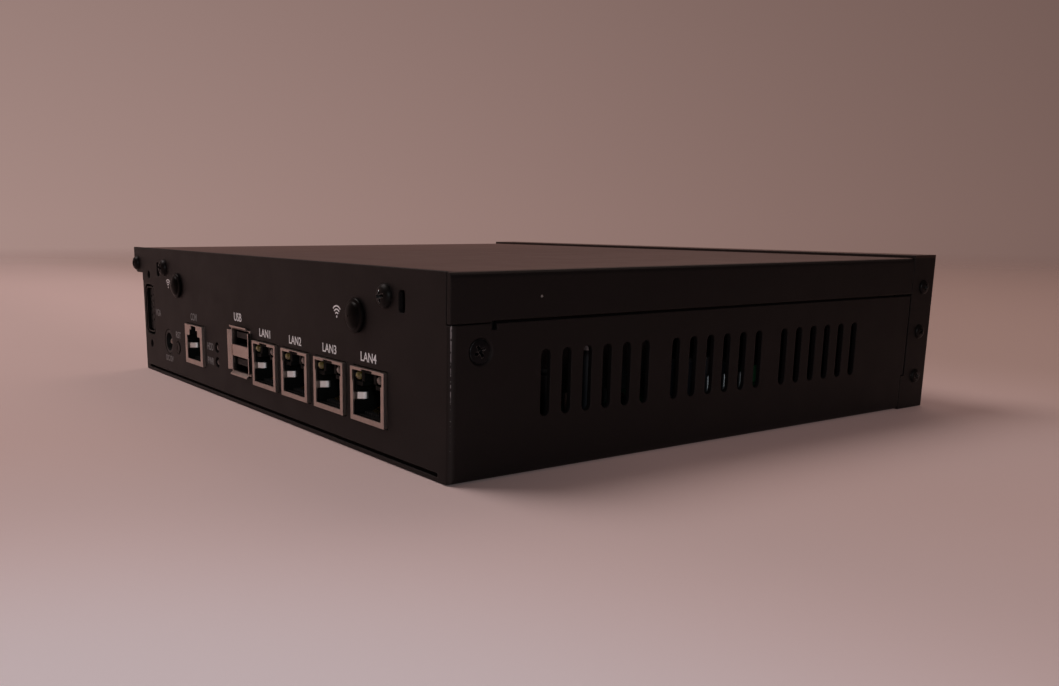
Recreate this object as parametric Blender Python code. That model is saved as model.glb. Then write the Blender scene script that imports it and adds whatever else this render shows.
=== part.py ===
"""Desktop firewall appliance: a folded steel case with a port wall, and the board it protects.

Metres, +Z up, origin at the centre of the underside. The port wall faces -Y, the front bezel
faces +Y, and the two vented side walls face +X and -X.
"""

import math

import bmesh
import bpy
from mathutils import Matrix, Vector

MM = 0.001

# Case.
WIDTH = 201.0 * MM
DEPTH = 173.6 * MM
HEIGHT = 44.4 * MM
SHEET = 1.2 * MM
BEND = 1.3 * MM
GAP = 0.3 * MM

# Heights and depths that split the case into its sheets.
SEAM_Z = 33.5 * MM
SEAM_GAP = 0.6 * MM
GROOVE_Z = (1.0 * MM, 1.9 * MM)
BEZEL_DEPTH = 10.0 * MM
BEZEL_PROUD = 1.2 * MM
BEZEL_GAP = 0.7 * MM
BEZEL_FOOT_DEPTH = 11.6 * MM
BEZEL_FOOT_Z = 10.0 * MM
BEZEL_RISE = 0.8 * MM
NOTCH_Y = -75.7 * MM
NOTCH_SIZE = (1.4 * MM, 3.0 * MM)

# Vents in both side walls.
SLOT_SIZE = (2.7 * MM, 14.9 * MM)
SLOT_Z = 19.8 * MM
SLOT_PITCH = 6.07 * MM
SLOT_GROUP_PITCH = 40.55 * MM
SLOT_START = 25.3 * MM

# Mounting lug at the top of the port wall, beyond the -X side.
LUG_REACH = 8.0 * MM
LUG_Z = 35.3 * MM
LUG_ROUND = 3.4 * MM

# Modular jacks: four for the network and one serial.
LAN_X = (9.35 * MM, 28.8 * MM, 48.25 * MM, 67.7 * MM)
COM_X = -46.15 * MM
JACK_Z = 14.2 * MM
JACK_SIZE = (15.5 * MM, 12.85 * MM)
JACK_LENGTH = 16.0 * MM
JACK_PROUD = 1.0 * MM

# Other connectors, the button and the lights.
USB_X = -8.85 * MM
USB_Z = 16.15 * MM
USB_SHELL = (14.0 * MM, 13.4 * MM)
USB_LIP = (15.7 * MM, 14.9 * MM)
USB_PROUD = 1.0 * MM
VGA_X = -92.4 * MM
VGA_Z = 22.4 * MM
VGA_OPENING = (10.0 * MM, 18.2 * MM)
VGA_SCREW_SPACING = 25.0 * MM
DC_X = -73.4 * MM
DC_Z = 12.5 * MM
DC_RADIUS = 4.1 * MM
BUTTON_X = -63.9 * MM
BUTTON_Z = 11.3 * MM
BUTTON_RADIUS = 2.0 * MM
BUTTON_TRAVEL = 0.5 * MM
LIGHT_X = -27.9 * MM
LIGHT_Z = (15.2 * MM, 10.6 * MM)
PLUG_X = 61.7 * MM
PLUG_Z = 32.6 * MM
PLUG_RADIUS = 4.1 * MM

# Fastenings.
WALL_SCREW = (75.0 * MM, 38.0 * MM)
HOOK_SLOT = (81.8 * MM, 37.2 * MM)
HOOK_SLOT_SIZE = (2.8 * MM, 5.0 * MM)
SIDE_SCREW = (-79.1 * MM, 27.8 * MM)
BEZEL_SCREW_Y = 82.4 * MM
BEZEL_SCREW_Z = (9.5 * MM, 22.8 * MM, 35.9 * MM)
LUG_SCREW = (-105.0 * MM, 38.6 * MM)

# Board.
BOARD_X = (-84.0 * MM, 92.0 * MM)
BOARD_Y = (-84.6 * MM, 44.0 * MM)
BOARD_Z = (5.6 * MM, 7.2 * MM)
BOARD_HOLES = [(x * MM, y * MM) for x in (-79.0, 87.0) for y in (-62.0, 38.0)]

FRONT = -DEPTH / 2
INNER_X = WIDTH / 2 - SHEET
BEZEL_Y = DEPTH / 2 - BEZEL_DEPTH


def clear_scene():
    for obj in list(bpy.data.objects):
        bpy.data.objects.remove(obj)


def material(name, color, roughness, metallic=0.0):
    if name in bpy.data.materials:
        return bpy.data.materials[name]
    mat = bpy.data.materials.new(name)
    mat.use_nodes = True
    shader = mat.node_tree.nodes["Principled BSDF"]
    shader.inputs["Base Color"].default_value = (*color, 1.0)
    shader.inputs["Roughness"].default_value = roughness
    shader.inputs["Metallic"].default_value = metallic
    mat.diffuse_color = (*color, 1.0)
    return mat


def coated_steel():
    return material("coated_steel", (0.018, 0.017, 0.018), 0.55)


def nickel():
    return material("nickel", (0.62, 0.58, 0.55), 0.32, 1.0)


def dark_shell():
    return material("dark_shell", (0.05, 0.05, 0.052), 0.45, 1.0)


def black_plastic():
    return material("black_plastic", (0.012, 0.012, 0.013), 0.45)


def gloss_plastic():
    return material("gloss_plastic", (0.01, 0.01, 0.011), 0.22)


def amber_lens():
    return material("amber_lens", (0.52, 0.56, 0.1), 0.25)


def clear_lens():
    return material("clear_lens", (0.62, 0.55, 0.52), 0.2)


def board_green():
    return material("board_green", (0.012, 0.05, 0.024), 0.4)


def bare_aluminium():
    return material("bare_aluminium", (0.6, 0.6, 0.6), 0.35, 1.0)


def zinc():
    return material("zinc", (0.55, 0.56, 0.56), 0.35, 1.0)


def black_oxide():
    return material("black_oxide", (0.03, 0.03, 0.03), 0.4, 1.0)


def brass():
    return material("brass", (0.62, 0.45, 0.2), 0.35, 1.0)


def add_box(bm, low, high):
    """A box between two opposite corners; returns its vertices."""
    size = Vector(high) - Vector(low)
    place = Matrix.Translation((Vector(high) + Vector(low)) / 2) @ Matrix.Diagonal((*size, 1.0))
    return bmesh.ops.create_cube(bm, size=1.0, matrix=place)["verts"]


def add_prism(bm, outline, start, end, axis="Y"):
    """Extrudes a closed outline along an axis. Y outlines are (x, z), X are (y, z), Z are (x, y)."""
    place = {
        "X": lambda a, b, t: (t, a, b),
        "Y": lambda a, b, t: (a, t, b),
        "Z": lambda a, b, t: (a, b, t),
    }[axis]
    near = [bm.verts.new(place(a, b, start)) for a, b in outline]
    far = [bm.verts.new(place(a, b, end)) for a, b in outline]
    count = len(outline)
    faces = [bm.faces.new(near), bm.faces.new(far)]
    for i in range(count):
        j = (i + 1) % count
        faces.append(bm.faces.new((near[i], near[j], far[j], far[i])))
    bmesh.ops.recalc_face_normals(bm, faces=faces)
    return near + far


def circle(radius, count=20, middle=(0.0, 0.0)):
    angles = [2 * math.pi * i / count for i in range(count)]
    return [(middle[0] + radius * math.cos(a), middle[1] + radius * math.sin(a)) for a in angles]


def rounded_rectangle(width, height, radius, middle=(0.0, 0.0), steps=3):
    points = []
    for quarter, (sx, sy) in enumerate(((1, 1), (-1, 1), (-1, -1), (1, -1))):
        cx = middle[0] + sx * (width / 2 - radius)
        cy = middle[1] + sy * (height / 2 - radius)
        for i in range(steps + 1):
            angle = math.pi / 2 * (quarter + i / steps)
            points.append((cx + radius * math.cos(angle), cy + radius * math.sin(angle)))
    return points


def rectangle(width, height, middle=(0.0, 0.0)):
    x, y = middle
    return [
        (x - width / 2, y - height / 2),
        (x + width / 2, y - height / 2),
        (x + width / 2, y + height / 2),
        (x - width / 2, y + height / 2),
    ]


def frustum(bm, first, first_y, last, last_y, middle=(0.0, 0.0)):
    """A four-sided taper along Y between two centred (width, height) rectangles."""
    near = [bm.verts.new((x, first_y, z)) for x, z in rectangle(*first, middle)]
    far = [bm.verts.new((x, last_y, z)) for x, z in rectangle(*last, middle)]
    faces = [bm.faces.new(near), bm.faces.new(far)]
    for i in range(4):
        j = (i + 1) % 4
        faces.append(bm.faces.new((near[i], near[j], far[j], far[i])))
    bmesh.ops.recalc_face_normals(bm, faces=faces)


def add_turned(bm, profile, count=20):
    """A solid turned about Z from (radius, height) points; both ends are on the axis."""
    rings = []
    for radius, height in profile:
        if radius == 0.0:
            rings.append([bm.verts.new((0.0, 0.0, height))])
            continue
        rings.append([bm.verts.new((x, y, height)) for x, y in circle(radius, count)])
    faces = []
    for low, high in zip(rings, rings[1:]):
        for i in range(count):
            j = (i + 1) % count
            corners = [low[i % len(low)], low[j % len(low)], high[j % len(high)], high[i % len(high)]]
            faces.append(bm.faces.new(list(dict.fromkeys(corners))))
    bmesh.ops.recalc_face_normals(bm, faces=faces)


def mesh_object(name, bm, at=(0.0, 0.0, 0.0), mat=None, smooth=False):
    mesh = bpy.data.meshes.new(name)
    bm.to_mesh(mesh)
    bm.free()
    if mat:
        mesh.materials.append(mat)
    if smooth:
        mesh.shade_smooth()
        mesh.set_sharp_from_angle(angle=math.radians(35))
    obj = bpy.data.objects.new(name, mesh)
    obj.location = at
    bpy.context.scene.collection.objects.link(obj)
    return obj


def combine(target, name, bm, operation="DIFFERENCE"):
    """Cuts a helper mesh from the target or joins it on; the helper shares the target's place."""
    helper = mesh_object(name, bm, target.location)
    helper.rotation_euler = target.rotation_euler
    helper.hide_render = True
    helper.display_type = "WIRE"
    modifier = target.modifiers.new(name, "BOOLEAN")
    modifier.object = helper
    modifier.operation = operation
    modifier.solver = "EXACT"


def bevel_edges(bm, chosen, width, segments=3):
    edges = [edge for edge in bm.edges if chosen(*(vert.co for vert in edge.verts))]
    bmesh.ops.bevel(bm, geom=edges, offset=width, segments=segments, affect="EDGES", profile=0.5)


def near(value, target):
    return abs(value - target) < 1e-6


def slot_centres():
    first = FRONT + SLOT_START
    return [first + SLOT_GROUP_PITCH * group + SLOT_PITCH * i for group in range(3) for i in range(6)]


def chassis_shell():
    """The folded tray: floor, two side walls and the lower port wall."""
    bm = bmesh.new()
    add_box(bm, (-WIDTH / 2, FRONT, 0.0), (WIDTH / 2, BEZEL_Y - BEZEL_GAP, SEAM_Z))

    def folded(a, b):
        upright = near(a.x, b.x) and near(a.y, FRONT) and near(b.y, FRONT)
        lower = near(a.z, 0.0) and near(b.z, 0.0) and near(a.x, b.x)
        return upright or lower

    bevel_edges(bm, folded, BEND)
    return bm


def lug_outline():
    """(x, z) outline of the upper port wall and its lug."""
    edge = -WIDTH / 2
    tip = edge - LUG_REACH
    arc = []
    for i in range(6):
        angle = math.pi * (1.0 + 0.5 * i / 5)
        arc.append((tip + LUG_ROUND * (1 + math.cos(angle)), LUG_Z + LUG_ROUND * (1 + math.sin(angle))))
    root = edge + 0.9 * MM
    end = WIDTH / 2 - BEND - GAP
    return [
        (root, SEAM_Z - MM),
        (end, SEAM_Z - MM),
        (end, HEIGHT),
        (tip, HEIGHT),
        *arc,
        (root, LUG_Z),
    ]


def upper_port_wall():
    bm = bmesh.new()
    add_prism(bm, lug_outline(), FRONT, FRONT + SHEET)
    return bm


def seam_strips(inner, outer, trim, low, high):
    """A strip along the inside of each side wall, between inner and outer from the middle plane."""
    bm = bmesh.new()
    first, last = FRONT + 12.6 * MM + trim, BEZEL_Y - 6.5 * MM - trim
    for side in (-1, 1):
        xs = sorted((side * inner, side * outer))
        add_box(bm, (xs[0], first, low), (xs[1], last, high))
    return bm


def port_wall_cutter():
    """Every opening in the port wall."""
    bm = bmesh.new()
    outside, inside = FRONT - 2 * MM, FRONT + 2 * SHEET
    for x in (*LAN_X, COM_X):
        jack = rectangle(JACK_SIZE[0] + 0.6 * MM, JACK_SIZE[1] + 0.6 * MM, (x, JACK_Z))
        add_prism(bm, jack, outside, inside)
    usb = rectangle(USB_SHELL[0] + 0.7 * MM, USB_SHELL[1] + 0.7 * MM, (USB_X, USB_Z))
    add_prism(bm, usb, outside, inside)
    add_prism(bm, rounded_rectangle(*VGA_OPENING, 2.6 * MM, (VGA_X, VGA_Z)), outside, inside)
    for side in (-1, 1):
        screw = (VGA_X, VGA_Z + side * VGA_SCREW_SPACING / 2)
        add_prism(bm, circle(1.5 * MM, 12, screw), outside, inside)
        add_prism(bm, circle(PLUG_RADIUS - 0.85 * MM, 16, (side * PLUG_X, PLUG_Z)), outside, inside)
        add_prism(bm, circle(1.7 * MM, 12, (side * WALL_SCREW[0], WALL_SCREW[1])), outside, inside)
        slot = (side * HOOK_SLOT[0], HOOK_SLOT[1])
        add_prism(bm, rounded_rectangle(*HOOK_SLOT_SIZE, 0.6 * MM, slot, 1), outside, inside)
    add_prism(bm, circle(DC_RADIUS + GAP, 24, (DC_X, DC_Z)), outside, inside)
    add_prism(bm, circle(BUTTON_RADIUS + GAP, 16, (BUTTON_X, BUTTON_Z)), outside, inside)
    for z in LIGHT_Z:
        add_prism(bm, circle(1.75 * MM, 14, (LIGHT_X, z)), outside, inside)
    add_prism(bm, circle(1.7 * MM, 12, LUG_SCREW), outside, inside)
    reach = WIDTH / 2 - 4.5 * MM
    add_box(bm, (-reach, outside, GROOVE_Z[0]), (reach, FRONT + SHEET + 0.1 * MM, GROOVE_Z[1]))
    return bm


def side_wall_cutter():
    """Vents, screw holes and edge notches, cut through both side walls at once."""
    bm = bmesh.new()
    half = WIDTH / 2 + MM
    for y in slot_centres():
        slot = rounded_rectangle(*SLOT_SIZE, 1.3 * MM, (y, SLOT_Z), 3)
        add_prism(bm, slot, -half, half, "X")
    notch = rectangle(*NOTCH_SIZE, (NOTCH_Y, SEAM_Z + 0.2 * MM))
    add_prism(bm, notch, -half, half, "X")
    for side in (-1, 1):
        outer = side * (WIDTH / 2 + 0.4 * MM)
        inner = side * (INNER_X - 0.6 * MM)
        near_ring = [bm.verts.new((outer, y, z)) for y, z in circle(3.5 * MM, 20, SIDE_SCREW)]
        far_ring = [bm.verts.new((inner, y, z)) for y, z in circle(1.5 * MM, 20, SIDE_SCREW)]
        faces = [bm.faces.new(near_ring), bm.faces.new(far_ring)]
        for i in range(20):
            j = (i + 1) % 20
            faces.append(bm.faces.new((near_ring[i], near_ring[j], far_ring[j], far_ring[i])))
        bmesh.ops.recalc_face_normals(bm, faces=faces)
        ends = sorted((side * (INNER_X - 0.2 * MM), side * half))
        foot = (ends[0], DEPTH / 2 - BEZEL_FOOT_DEPTH - GAP, -MM)
        add_box(bm, foot, (ends[1], DEPTH / 2, BEZEL_FOOT_Z + GAP))
    return bm


def tongue_cutter():
    """The threaded holes in the two bezel tongues."""
    bm = bmesh.new()
    for z in BEZEL_SCREW_Z:
        add_prism(bm, circle(1.5 * MM, 12, (BEZEL_SCREW_Y, z)), -WIDTH, WIDTH, "X")
    return bm


def bezel_tongues():
    """Two tongues set inwards at the open end, which the bezel's screws bite into."""
    bm = bmesh.new()
    for side in (-1, 1):
        xs = sorted((side * (INNER_X - 2.0 * MM), side * (INNER_X - GAP)))
        add_box(bm, (xs[0], BEZEL_Y - 6 * MM, 4 * MM), (xs[1], DEPTH / 2 - 1.8 * MM, 41 * MM))
    return bm


def tongue_roots():
    """The joggles that join the tongues to the side walls."""
    bm = bmesh.new()
    for side in (-1, 1):
        xs = sorted((side * (INNER_X - MM), side * (INNER_X + 0.5 * SHEET)))
        add_box(bm, (xs[0], BEZEL_Y - 5.8 * MM, 5 * MM), (xs[1], BEZEL_Y - 3 * MM, SEAM_Z - 2 * MM))
    return bm


def build_chassis():
    chassis = mesh_object("chassis", chassis_shell(), mat=coated_steel())
    inside = bmesh.new()
    add_box(inside, (-INNER_X, FRONT + SHEET, SHEET), (INNER_X, DEPTH, HEIGHT))
    combine(chassis, "cut_chassis_inside", inside)
    combine(chassis, "add_upper_port_wall", upper_port_wall(), "UNION")
    combine(chassis, "add_bezel_tongues", bezel_tongues(), "UNION")
    combine(chassis, "add_tongue_roots", tongue_roots(), "UNION")
    # Lips that rise behind the cover's flanges and close the seam to light, and the welds that hold them.
    lips = seam_strips(INNER_X - GAP - SHEET, INNER_X - GAP, 0.0, SEAM_Z - 4 * MM, SEAM_Z + 4 * MM)
    combine(chassis, "add_seam_lips", lips, "UNION")
    welds = seam_strips(INNER_X - 0.5 * MM, INNER_X + 0.5 * SHEET, MM, SEAM_Z - 3.5 * MM, SEAM_Z - 1.5 * MM)
    combine(chassis, "add_seam_welds", welds, "UNION")
    combine(chassis, "cut_port_wall", port_wall_cutter())
    combine(chassis, "cut_side_walls", side_wall_cutter())
    combine(chassis, "cut_tongue_holes", tongue_cutter())


def cover_outline():
    """(x, z) section of the cover: the top plate and its two side flanges, with folded corners."""
    half, inner = WIDTH / 2, INNER_X
    low = SEAM_Z + SEAM_GAP
    outer = []
    for side in (1, -1):
        arc = []
        for i in range(4):
            angle = math.pi / 2 * i / 3
            x = half - BEND + BEND * math.cos(angle)
            arc.append((side * x, HEIGHT - BEND + BEND * math.sin(angle)))
        outer += arc if side > 0 else arc[::-1]
    return [
        (half, low),
        *outer,
        (-half, low),
        (-inner, low),
        (-inner, HEIGHT - SHEET),
        (inner, HEIGHT - SHEET),
        (inner, low),
    ]


def flange_end():
    """The +X flange carried forward to the outer face of the port wall."""
    bm = bmesh.new()
    arc = [math.pi / 2 * i / 3 for i in range(4)]
    middle = (WIDTH / 2 - BEND, HEIGHT - BEND)
    corner = [(middle[0] + BEND * math.cos(a), middle[1] + BEND * math.sin(a)) for a in arc]
    outline = [(WIDTH / 2, SEAM_Z + SEAM_GAP), *corner, (middle[0], SEAM_Z + SEAM_GAP)]
    add_prism(bm, outline, FRONT, FRONT + SHEET + 2 * GAP)
    return bm


def flange_lips():
    """The flanges' lower edges brought closer to the tray, from the port wall to the notch."""
    bm = bmesh.new()
    last = NOTCH_Y - NOTCH_SIZE[0] / 2
    for side, first in ((-1, FRONT + SHEET + GAP), (1, FRONT)):
        xs = sorted((side * INNER_X, side * WIDTH / 2))
        add_box(bm, (xs[0], first, SEAM_Z + GAP), (xs[1], last, SEAM_Z + 2 * SEAM_GAP))
    return bm


def cover_tabs():
    """Tabs folded down inside the case, which the wall and side screws bite into."""
    bm = bmesh.new()
    top = HEIGHT - 0.5 * SHEET
    back = FRONT + SHEET + GAP
    for side in (-1, 1):
        xs = sorted((side * (WALL_SCREW[0] - 5 * MM), side * (HOOK_SLOT[0] + 3 * MM)))
        add_box(bm, (xs[0], back, WALL_SCREW[1] - 4.5 * MM), (xs[1], back + SHEET, top))
        xs = sorted((side * (INNER_X - 0.4 * MM), side * (INNER_X - 1.6 * MM)))
        low = (xs[0], SIDE_SCREW[0] - 4 * MM, SIDE_SCREW[1] - 4.5 * MM)
        add_box(bm, low, (xs[1], SIDE_SCREW[0] + 4.5 * MM, top))
    return bm


def build_top_cover():
    bm = bmesh.new()
    add_prism(bm, cover_outline(), FRONT + SHEET + GAP, BEZEL_Y - GAP)
    cover = mesh_object("top_cover", bm, mat=coated_steel())
    combine(cover, "add_flange_end", flange_end(), "UNION")
    combine(cover, "add_flange_lips", flange_lips(), "UNION")
    combine(cover, "add_cover_tabs", cover_tabs(), "UNION")
    holes = bmesh.new()
    for side in (-1, 1):
        hole = circle(1.55 * MM, 12, (side * WALL_SCREW[0], WALL_SCREW[1]))
        add_prism(holes, hole, FRONT, FRONT + 4 * SHEET)
        ends = sorted((side * (INNER_X - 3 * MM), side * INNER_X))
        add_prism(holes, circle(1.55 * MM, 12, SIDE_SCREW), *ends, "X")
    combine(cover, "cut_cover_holes", holes)


def build_front_bezel():
    bm = bmesh.new()
    top = HEIGHT + BEZEL_RISE
    face = DEPTH / 2 + BEZEL_PROUD
    add_box(bm, (-WIDTH / 2, DEPTH / 2 - BEZEL_FOOT_DEPTH, 0.0), (WIDTH / 2, face, top))

    def front_rim(a, b):
        return near(a.y, face) and near(b.y, face)

    bevel_edges(bm, front_rim, 0.9 * MM)
    bezel = mesh_object("front_bezel", bm, mat=coated_steel())
    inside = bmesh.new()
    add_box(inside, (-INNER_X, 0.0, SHEET), (INNER_X, face - 1.4 * MM, top - SHEET))
    combine(bezel, "cut_bezel_inside", inside)
    step = bmesh.new()
    add_box(step, (-WIDTH, 0.0, BEZEL_FOOT_Z), (WIDTH, BEZEL_Y, 2 * HEIGHT))
    add_box(step, (-INNER_X, 0.0, -MM), (INNER_X, BEZEL_Y, 2 * MM))
    combine(bezel, "cut_bezel_step", step)
    holes = bmesh.new()
    for z in BEZEL_SCREW_Z:
        add_prism(holes, circle(1.55 * MM, 12, (BEZEL_SCREW_Y, z)), -WIDTH, WIDTH, "X")
    combine(bezel, "cut_bezel_holes", holes)


def build_mainboard():
    bm = bmesh.new()
    low, high = zip(BOARD_X, BOARD_Y, BOARD_Z)
    add_box(bm, low, high)
    board = mesh_object("mainboard", bm, mat=board_green())
    holes = bmesh.new()
    for hole in BOARD_HOLES:
        add_prism(holes, circle(1.7 * MM, 12, hole), 0.0, 20 * MM, "Z")
    combine(board, "cut_board_holes", holes)


def build_standoff(index, at):
    bm = bmesh.new()
    add_prism(bm, circle(3.0 * MM, 6), SHEET + GAP, BOARD_Z[0] - GAP, "Z")
    post = mesh_object(f"standoff_{index}", bm, (*at, 0.0), brass())
    hole = bmesh.new()
    add_prism(hole, circle(1.5 * MM, 12), SHEET + MM, 20 * MM, "Z")
    combine(post, f"cut_standoff_{index}", hole)


def cross_recess(width, depth, top):
    """A cross-shaped driver recess cut down from a height of top."""
    bm = bmesh.new()
    arm = width / 2
    thin = width / 9
    outline = [
        (thin, thin), (thin, arm), (-thin, arm), (-thin, thin), (-arm, thin), (-arm, -thin),
        (-thin, -thin), (-thin, -arm), (thin, -arm), (thin, -thin), (arm, -thin), (arm, thin),
    ]
    add_prism(bm, outline, top - depth, top + MM, "Z")
    return bm


def build_pan_screw(name, at, facing, radius, height, shank, mat, sides=20):
    """A pan-head screw. Its head rests on the point at and looks along facing."""
    bm = bmesh.new()
    profile = [
        (0.0, -shank),
        (1.2 * MM, -shank),
        (1.2 * MM, 0.0),
        (radius, 0.0),
        (radius, 0.35 * height),
        (0.86 * radius, 0.78 * height),
        (0.55 * radius, height),
        (0.0, height),
    ]
    add_turned(bm, profile, sides)
    screw = mesh_object(name, bm, at, mat, smooth=True)
    screw.rotation_euler = Vector(facing).to_track_quat("Z", "Y").to_euler()
    combine(screw, f"cut_{name}", cross_recess(1.25 * radius, 0.55 * height, height))


def build_flat_screw(name, at, facing, mat):
    """A countersunk screw, its head level with the wall that it clamps."""
    bm = bmesh.new()
    profile = [
        (0.0, -3.4 * MM),
        (1.15 * MM, -3.4 * MM),
        (1.15 * MM, -1.7 * MM),
        (2.65 * MM, -0.2 * MM),
        (2.65 * MM, 0.0),
        (0.0, 0.0),
    ]
    add_turned(bm, profile)
    screw = mesh_object(name, bm, at, mat, smooth=True)
    screw.rotation_euler = Vector(facing).to_track_quat("Z", "Y").to_euler()
    combine(screw, f"cut_{name}", cross_recess(3.4 * MM, 0.8 * MM, 0.0))


def build_screws():
    black, plated = black_oxide(), zinc()
    for index, side in enumerate((-1, 1)):
        at = (side * WALL_SCREW[0], FRONT - 0.15 * MM, WALL_SCREW[1])
        build_pan_screw(f"wall_screw_{index + 1}", at, (0, -1, 0), 2.8 * MM, 1.6 * MM, 4 * MM, black)
        at = (side * (WIDTH / 2 - 0.2 * MM), *SIDE_SCREW)
        build_flat_screw(f"side_screw_{index + 1}", at, (side, 0, 0), plated)
        for row, z in enumerate(BEZEL_SCREW_Z):
            at = (side * (WIDTH / 2 + 0.15 * MM), BEZEL_SCREW_Y, z)
            name = f"bezel_screw_{index * 3 + row + 1}"
            build_pan_screw(name, at, (side, 0, 0), 2.1 * MM, 0.7 * MM, 3.4 * MM, black, 16)
    at = (LUG_SCREW[0], FRONT - 0.15 * MM, LUG_SCREW[1])
    build_pan_screw("lug_screw", at, (0, -1, 0), 2.5 * MM, 1.5 * MM, 2.6 * MM, black)
    for index, hole in enumerate(BOARD_HOLES):
        at = (*hole, BOARD_Z[1] + GAP)
        build_pan_screw(f"board_screw_{index + 1}", at, (0, 0, 1), 2.8 * MM, 1.6 * MM, 4.6 * MM, plated, 14)


def keyhole(width, base, heights, steps):
    """(x, z) outline of a plug opening that narrows in two steps towards the latch."""
    half = width / 2
    first, second, top = heights
    wide, narrow = steps
    return [
        (-half, base),
        (half, base),
        (half, first),
        (wide, first),
        (wide, second),
        (narrow, second),
        (narrow, top),
        (-narrow, top),
        (-narrow, second),
        (-wide, second),
        (-wide, first),
        (-half, first),
    ]


def notched_window():
    """(x, z) outline of a network jack's window: wider at the lights, notched for the latch."""
    half, eye, notch = 6.45 * MM, 6.9 * MM, 2.5 * MM
    base, eye_base, top, notch_top = -5.2 * MM, 3.1 * MM, 5.7 * MM, 6.2 * MM
    return [
        (-half, base),
        (half, base),
        (half, eye_base),
        (eye, eye_base),
        (eye, top),
        (notch, top),
        (notch, notch_top),
        (-notch, notch_top),
        (-notch, top),
        (-eye, top),
        (-eye, eye_base),
        (-half, eye_base),
    ]


def build_jack_shield(name, at, window):
    """The plated can round a modular jack: a framed front, and a ground finger by its left wall."""
    width, height = JACK_SIZE
    back = JACK_LENGTH
    bm = bmesh.new()
    add_prism(bm, rectangle(width, height), 0.0, back)
    shield = mesh_object(name, bm, at, nickel())
    pocket = bmesh.new()
    add_prism(pocket, rectangle(width - 0.8 * MM, height - 0.8 * MM), 0.35 * MM, back + MM)
    combine(shield, f"cut_{name}_pocket", pocket)
    opening = bmesh.new()
    add_prism(opening, window, -MM, 2 * MM)
    combine(shield, f"cut_{name}_opening", opening)
    finger = bmesh.new()
    edge = window[0][0]
    plan = [
        (edge - 0.6 * MM, 0.2 * MM),
        (edge + 0.05 * MM, 0.2 * MM),
        (-5.9 * MM, 3.2 * MM),
        (-6.15 * MM, 3.25 * MM),
        (edge - 0.35 * MM, 0.8 * MM),
        (edge - 0.6 * MM, 0.7 * MM),
    ]
    add_prism(finger, plan, -1.55 * MM, 0.15 * MM, "Z")
    combine(shield, f"add_{name}_finger", finger, "UNION")


def build_jack_insert(name, at, cavity_outline):
    """The moulded insert of a modular jack, open at the front for the plug and its latch."""
    width, height = JACK_SIZE[0] - 1.4 * MM, JACK_SIZE[1] - 1.4 * MM
    bm = bmesh.new()
    add_prism(bm, rectangle(width, height), 0.8 * MM, JACK_LENGTH - MM)
    insert = mesh_object(name, bm, at, black_plastic())
    cavity = bmesh.new()
    add_prism(cavity, cavity_outline, 0.0, 12.5 * MM)
    combine(insert, f"cut_{name}_cavity", cavity)
    relief = bmesh.new()
    add_box(relief, (-width / 2 - MM, 0.0, -1.9 * MM), (-5.8 * MM, 4.2 * MM, 0.5 * MM))
    combine(insert, f"cut_{name}_relief", relief)
    return insert


def cut_light_windows(insert):
    """Notches for the two light pipes in the upper corners of a jack insert."""
    windows = bmesh.new()
    for side in (-1, 1):
        low, high = sorted((side * 3.4 * MM, side * 6.5 * MM))
        add_box(windows, (low, 0.0, 2.95 * MM), (high, 6 * MM, JACK_SIZE[1] / 2))
    combine(insert, f"cut_{insert.name}_lights", windows)


def build_jack_light(name, at, side, mat):
    """One light pipe in an upper corner of a jack, its lens just inside the window."""
    bm = bmesh.new()
    front = 0.25 * MM
    add_box(bm, (-1.25 * MM, front, -1.05 * MM), (1.25 * MM, 5.6 * MM, 1.05 * MM))
    bevel_edges(bm, lambda a, b: near(a.y, front) and near(b.y, front), 0.3 * MM, 2)
    mesh_object(name, bm, (at[0] + side * 4.95 * MM, at[1], at[2] + 4.35 * MM), mat)


def build_jacks():
    lan_cavity = keyhole(12.6 * MM, -4.9 * MM, (2.0 * MM, 3.2 * MM, 5.3 * MM), (3.0 * MM, 2.1 * MM))
    for index, x in enumerate(LAN_X):
        at = (x, FRONT - JACK_PROUD, JACK_Z)
        name = f"lan{index + 1}"
        build_jack_shield(f"{name}_shield", at, notched_window())
        insert = build_jack_insert(f"{name}_insert", at, lan_cavity)
        cut_light_windows(insert)
        build_jack_light(f"{name}_light_left", at, -1, amber_lens())
        build_jack_light(f"{name}_light_right", at, 1, clear_lens())
    at = (COM_X, FRONT - JACK_PROUD, JACK_Z)
    steps = (3.7 * MM, 2.25 * MM)
    window = keyhole(11.9 * MM, -4.9 * MM, (2.9 * MM, 4.85 * MM, 6.15 * MM), steps)
    build_jack_shield("com_shield", at, window)
    cavity = keyhole(12.2 * MM, -4.95 * MM, (3.0 * MM, 4.9 * MM, 5.3 * MM), steps)
    build_jack_insert("com_insert", at, cavity)


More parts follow.
